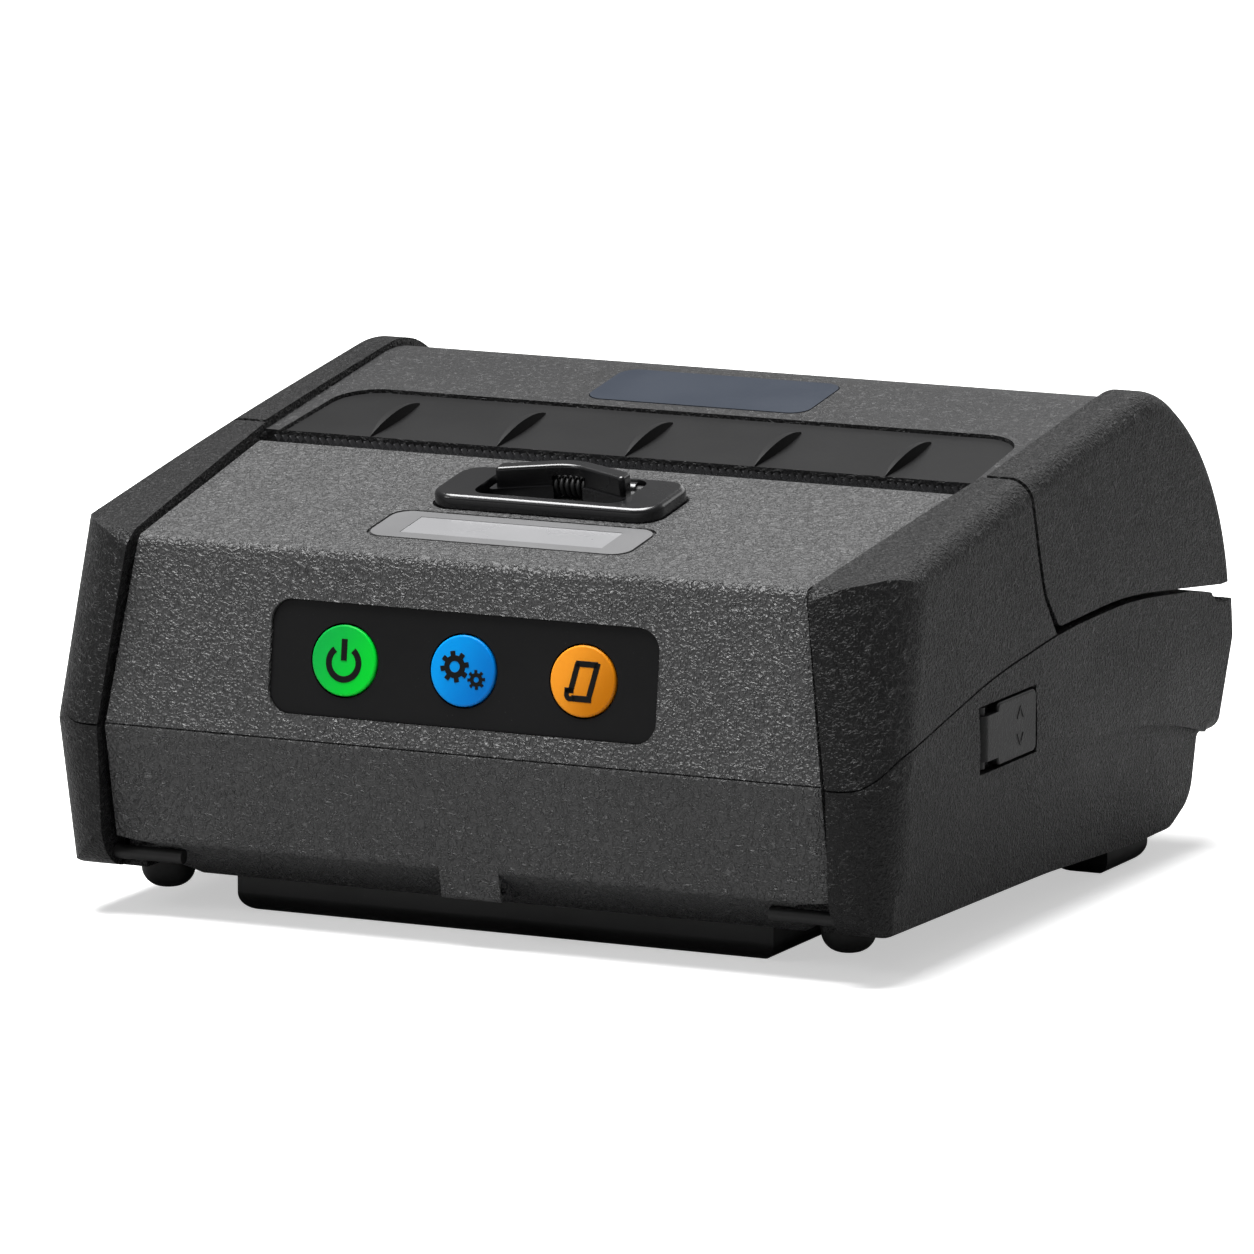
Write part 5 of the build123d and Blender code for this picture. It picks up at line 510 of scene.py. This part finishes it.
# %% Grid helpers
SOFT = 0.03
SUNK = -0.05
FOOT_Y = -67.2
FOOT_Z = 30.3
LEAN_ABOVE = 3.6
PANEL_RISE = 29.3
LEAN = LEAN_ABOVE / PANEL_RISE
FRONT_NORMAL = Vector((0.0, -1.0, LEAN)).normalized()
FRONT_UP = Vector((0.0, LEAN, 1.0)).normalized()
PANEL_Y = FOOT_Y + LEAN * (KEY_Z - FOOT_Z)


def front_frame(x, depth):
    """Matrix of a spot on the key panel: local x is across, y up the panel, z out of it, in millimetres."""
    origin = Vector((x, PANEL_Y, KEY_Z)) - FRONT_NORMAL * depth
    matrix = Matrix((Vector((1, 0, 0)), FRONT_UP, FRONT_NORMAL)).transposed().to_4x4()
    matrix.translation = origin
    return matrix


def make_object(name, verts, faces, matrix, material):
    """A flat-shaded object from points in millimetres in the frame that the matrix gives."""
    points = np.asarray(verts, float)
    turn = np.array(matrix)
    points = (points @ turn[:3, :3].T + turn[:3, 3]) * MM
    mesh = bpy.data.meshes.new(name)
    mesh.from_pydata(points.tolist(), [], faces)
    mesh.update()
    mesh.shade_flat()
    piece = bpy.data.objects.new(name, mesh)
    bpy.context.collection.objects.link(piece)
    mesh.materials.append(material)
    return piece


def torus_faces(rows, columns):
    """Quads of a grid that closes on itself both ways."""
    row, column = np.meshgrid(np.arange(rows), np.arange(columns), indexing="ij")
    a = row * columns + column
    b = row * columns + (column + 1) % columns
    c = (row + 1) % rows * columns + (column + 1) % columns
    d = (row + 1) % rows * columns + column
    return np.stack([a, b, c, d], axis=-1).reshape(-1, 4).tolist()


def section_levels(thick):
    """Heights of the six corners of a print's section, from one foot over the top to the other foot."""
    return np.array([SUNK, thick - SOFT, thick, thick, thick - SOFT, SUNK])


def ring_print(outer, inner, thick, centre):
    """A closed ring whose section goes up the inner wall, out along the top, and down the outer wall.

    outer and inner are radii at the same evenly spaced angles, so r(angle) draws a circle, a gear or any
    other outline seen from above.
    """
    outer = np.asarray(outer, float)
    inner = np.asarray(inner, float)
    count = len(outer)
    angle = np.linspace(0.0, 2.0 * np.pi, count, endpoint=False)
    radii = np.stack([inner, inner, inner + SOFT, outer - SOFT, outer, outer], axis=1)
    levels = section_levels(thick)
    x = centre[0] + radii * np.cos(angle)[:, None]
    y = centre[1] + radii * np.sin(angle)[:, None]
    z = np.broadcast_to(levels, x.shape)
    return np.stack([x, y, z], axis=-1).reshape(-1, 3), torus_faces(count, len(levels))


def stroke_print(path, half, thick):
    """A stroke along a path: its section is a low box with eased top edges, and both ends are capped."""
    path = np.asarray(path, float)
    along = np.gradient(path, axis=0)
    along /= np.linalg.norm(along, axis=1)[:, None]
    side = np.stack([-along[:, 1], along[:, 0]], axis=1)
    across = np.array([-1.0, -1.0, -1.0, 1.0, 1.0, 1.0])
    ease = np.array([0.0, 0.0, SOFT, SOFT, 0.0, 0.0])
    offset = across * (half - ease)
    xy = path[:, None, :] + offset[None, :, None] * side[:, None, :]
    z = np.broadcast_to(section_levels(thick), xy.shape[:2])
    verts = np.concatenate([xy, z[..., None]], axis=-1).reshape(-1, 3)
    rows = len(path)
    columns = len(across)
    row, column = np.meshgrid(np.arange(rows - 1), np.arange(columns), indexing="ij")
    a = row * columns + column
    b = row * columns + (column + 1) % columns
    faces = np.stack([a, a + columns, b + columns, b], axis=-1).reshape(-1, 4).tolist()
    faces.append(list(range(columns)))
    faces.append(list(range(rows * columns - 1, (rows - 1) * columns - 1, -1)))
    return verts, faces


def join_prints(*parts):
    """Several point and face lists as one."""
    verts = []
    faces = []
    for part_verts, part_faces in parts:
        start = sum(len(points) for points in verts)
        verts.append(np.asarray(part_verts))
        faces += [[index + start for index in face] for face in part_faces]
    return np.concatenate(verts), faces


# %% Icon shapes
CAP_DEPTH = 0.15
PRINT = 0.06
POWER_HALF = 0.50
SHEET_HALF = 0.46
SHEET_FOOT_HALF = 0.48
CURL_HALF = 0.40
TOOTH_STEEPNESS = 3.2


def gear_radius(count, teeth, root, tip, turn):
    """Radius of a gear's outline: a wave with flat tops and flat roots, one per tooth."""
    angle = np.linspace(0.0, 2.0 * np.pi, count, endpoint=False) - turn
    wave = np.cos(teeth * angle)
    share = np.clip(wave * TOOTH_STEEPNESS + 0.5, 0.0, 1.0)
    return root + (tip - root) * share


def gear_print(count, teeth, root, tip, turn, bore, centre):
    """A flat gear with a round bore."""
    return ring_print(gear_radius(count, teeth, root, tip, turn), np.full(count, bore), PRINT, centre)


def arc(centre, radius, start, end, count=40):
    """Points of a circle's arc, angles in degrees."""
    angle = np.radians(np.linspace(start, end, count))
    return np.stack([centre[0] + radius * np.cos(angle), centre[1] + radius * np.sin(angle)], axis=1)


def line(*points, step=0.25):
    """Points along straight runs, about one step apart."""
    runs = []
    for start, end in zip(points[:-1], points[1:]):
        start = np.array(start, float)
        end = np.array(end, float)
        count = max(2, int(np.linalg.norm(end - start) / step))
        share = np.linspace(0.0, 1.0, count, endpoint=False)[:, None]
        runs.append(start + (end - start) * share)
    runs.append(np.array([points[-1]], float))
    return np.concatenate(runs)


power_parts = join_prints(
    stroke_print(arc((0.0, -0.35), 2.5, 128, 412), POWER_HALF, PRINT),
    stroke_print(line((0.0, 0.0), (0.0, 3.3)), POWER_HALF, PRINT),
)
gear_parts = join_prints(
    gear_print(240, teeth=8, root=1.75, tip=2.4, turn=0.2, bore=0.85, centre=(-1.35, 0.55)),
    gear_print(160, teeth=8, root=1.05, tip=1.5, turn=0.1, bore=0.42, centre=(2.35, -1.15)),
)
feed_parts = join_prints(
    stroke_print(line((-1.2, 2.6), (2.4, 2.6)), SHEET_HALF, PRINT),
    stroke_print(line((-0.9, 2.7), (-1.9, -1.6)), SHEET_HALF, PRINT),
    stroke_print(line((2.4, 2.9), (1.2, -2.2)), SHEET_HALF, PRINT),
    stroke_print(arc((-1.9, -2.1), 0.65, 60, 330), CURL_HALF, PRINT),
    stroke_print(line((-1.6, -2.65), (1.6, -2.65)), SHEET_FOOT_HALF, PRINT),
    stroke_print(line((-2.9, -1.5), (-1.4, -1.5)), CURL_HALF, PRINT),
)
ICONS = [
    ("icon_power", power_parts, -KEY_STEP, "key_power"),
    ("icon_settings", gear_parts, 0.0, "key_menu"),
    ("icon_feed", feed_parts, KEY_STEP, "key_feed"),
]
for name, (verts, faces), x, body in ICONS:
    icon = make_object(name, verts, faces, front_frame(x, CAP_DEPTH), icon_black)
    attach(icon, body)

# %% [markdown]
# Mark on the port cover
#
# Two small chevrons, raised on the rubber, show where a fingertip lifts the cover. The mark's own frame
# has its x along the printer's Y, its y along Z, and its z out of the cover's face, along X.

# %% Port mark
MARK_X, MARK_Y, MARK_Z = 70.98, -18.6, 32.8
MARK_HALF = 0.16
MARK_PROUD = 0.12

port_frame = Matrix(((0, 0, 1, MARK_X), (1, 0, 0, MARK_Y), (0, 1, 0, MARK_Z), (0, 0, 0, 1)))
mark_parts = join_prints(
    stroke_print(line((-1.1, 1.2), (0.0, 2.9), (1.1, 1.2)), MARK_HALF, MARK_PROUD),
    stroke_print(line((-1.1, -1.2), (0.0, -2.9), (1.1, -1.2)), MARK_HALF, MARK_PROUD),
)
port_mark = make_object("port_mark", *mark_parts, port_frame, port_rubber)
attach(port_mark, "port_door")

# %% [markdown]
# The table and the light
#
# The printer stands on a white floor that glows a little for the camera, so that it runs out to pure
# white. To the printer the floor is a mid grey, so that the sides and the front, which look down on it,
# stay dark. One wide soft lamp hangs above and a little in front, so the roof, which faces it, is the
# brightest side. A dimmer lamp fills the front from the left, and a low one behind puts a sheen along
# the top edges. The world gives an even grey to what the lamps miss, and plain white to the camera.

# %% Stage
FLOOR = 5.0
FLOOR_GLOW = 0.50
FLOOR_BOUNCE = 0.40
WORLD_LEVEL = 0.16

floor_mesh = bpy.data.meshes.new("floor")
floor_corners = [(-FLOOR, -FLOOR, 0), (FLOOR, -FLOOR, 0), (FLOOR, FLOOR, 0), (-FLOOR, FLOOR, 0)]
floor_mesh.from_pydata(floor_corners, [], [(0, 1, 2, 3)])
floor = bpy.data.objects.new("floor", floor_mesh)
bpy.context.collection.objects.link(floor)
floor_material, tree, place = new_material("floor_white")
white = blend_colour(tree, noise(tree, place, 0.5), tone(0.80), tone(0.82))
diffuse = add(tree, "ShaderNodeBsdfDiffuse", {"Color": white, "Roughness": 0.5})
dim = add(tree, "ShaderNodeBsdfDiffuse", {"Color": tone(FLOOR_BOUNCE), "Roughness": 0.5})
glow = add(tree, "ShaderNodeEmission", {"Color": tone(1.0), "Strength": FLOOR_GLOW})
lit = add(tree, "ShaderNodeAddShader", {0: diffuse.outputs[0], 1: glow.outputs[0]})
ray = add(tree, "ShaderNodeLightPath")
plain = add(tree, "ShaderNodeMixShader", {0: ray.outputs["Is Camera Ray"], 1: dim.outputs[0],
                                          2: lit.outputs[0]})
finish_material(tree, plain.outputs[0])
floor_mesh.materials.append(floor_material)


# %% Lamps
def area_lamp(name, place, target, width, height, watts):
    """A rectangular lamp at a place, facing a target."""
    data = bpy.data.lights.new(name, "AREA")
    data.shape = "RECTANGLE"
    data.size = width
    data.size_y = height
    data.energy = watts
    lamp = bpy.data.objects.new(name, data)
    bpy.context.collection.objects.link(lamp)
    lamp.location = place
    lamp.rotation_euler = (Vector(target) - Vector(place)).to_track_quat("-Z", "Y").to_euler()


area_lamp("top_softbox", (-0.12, -0.06, 0.80), target=(0.0, -0.03, 0.05),
          width=0.6, height=0.6, watts=20.5)
area_lamp("front_fill", (-0.9, -1.0, 0.75), target=(0.0, 0.0, 0.04),
          width=0.45, height=0.35, watts=2.3)
area_lamp("back_sheen", (0.2, 1.2, 0.6), target=(0.0, 0.0, 0.05),
          width=1.4, height=0.5, watts=3.2)

world = bpy.data.worlds.new("world")
bpy.context.scene.world = world
world.use_nodes = True
sky = world.node_tree
sky.nodes.clear()
rays = add(sky, "ShaderNodeLightPath")
seen = math_node(sky, "MULTIPLY", rays.outputs["Is Camera Ray"], 1.0 - WORLD_LEVEL)
level = math_node(sky, "ADD", seen, WORLD_LEVEL)
backdrop = add(sky, "ShaderNodeBackground", {"Color": tone(1.0), "Strength": level})
sky.links.new(backdrop.outputs[0], add(sky, "ShaderNodeOutputWorld").inputs["Surface"])
bpy.context.scene.view_settings.view_transform = "Standard"
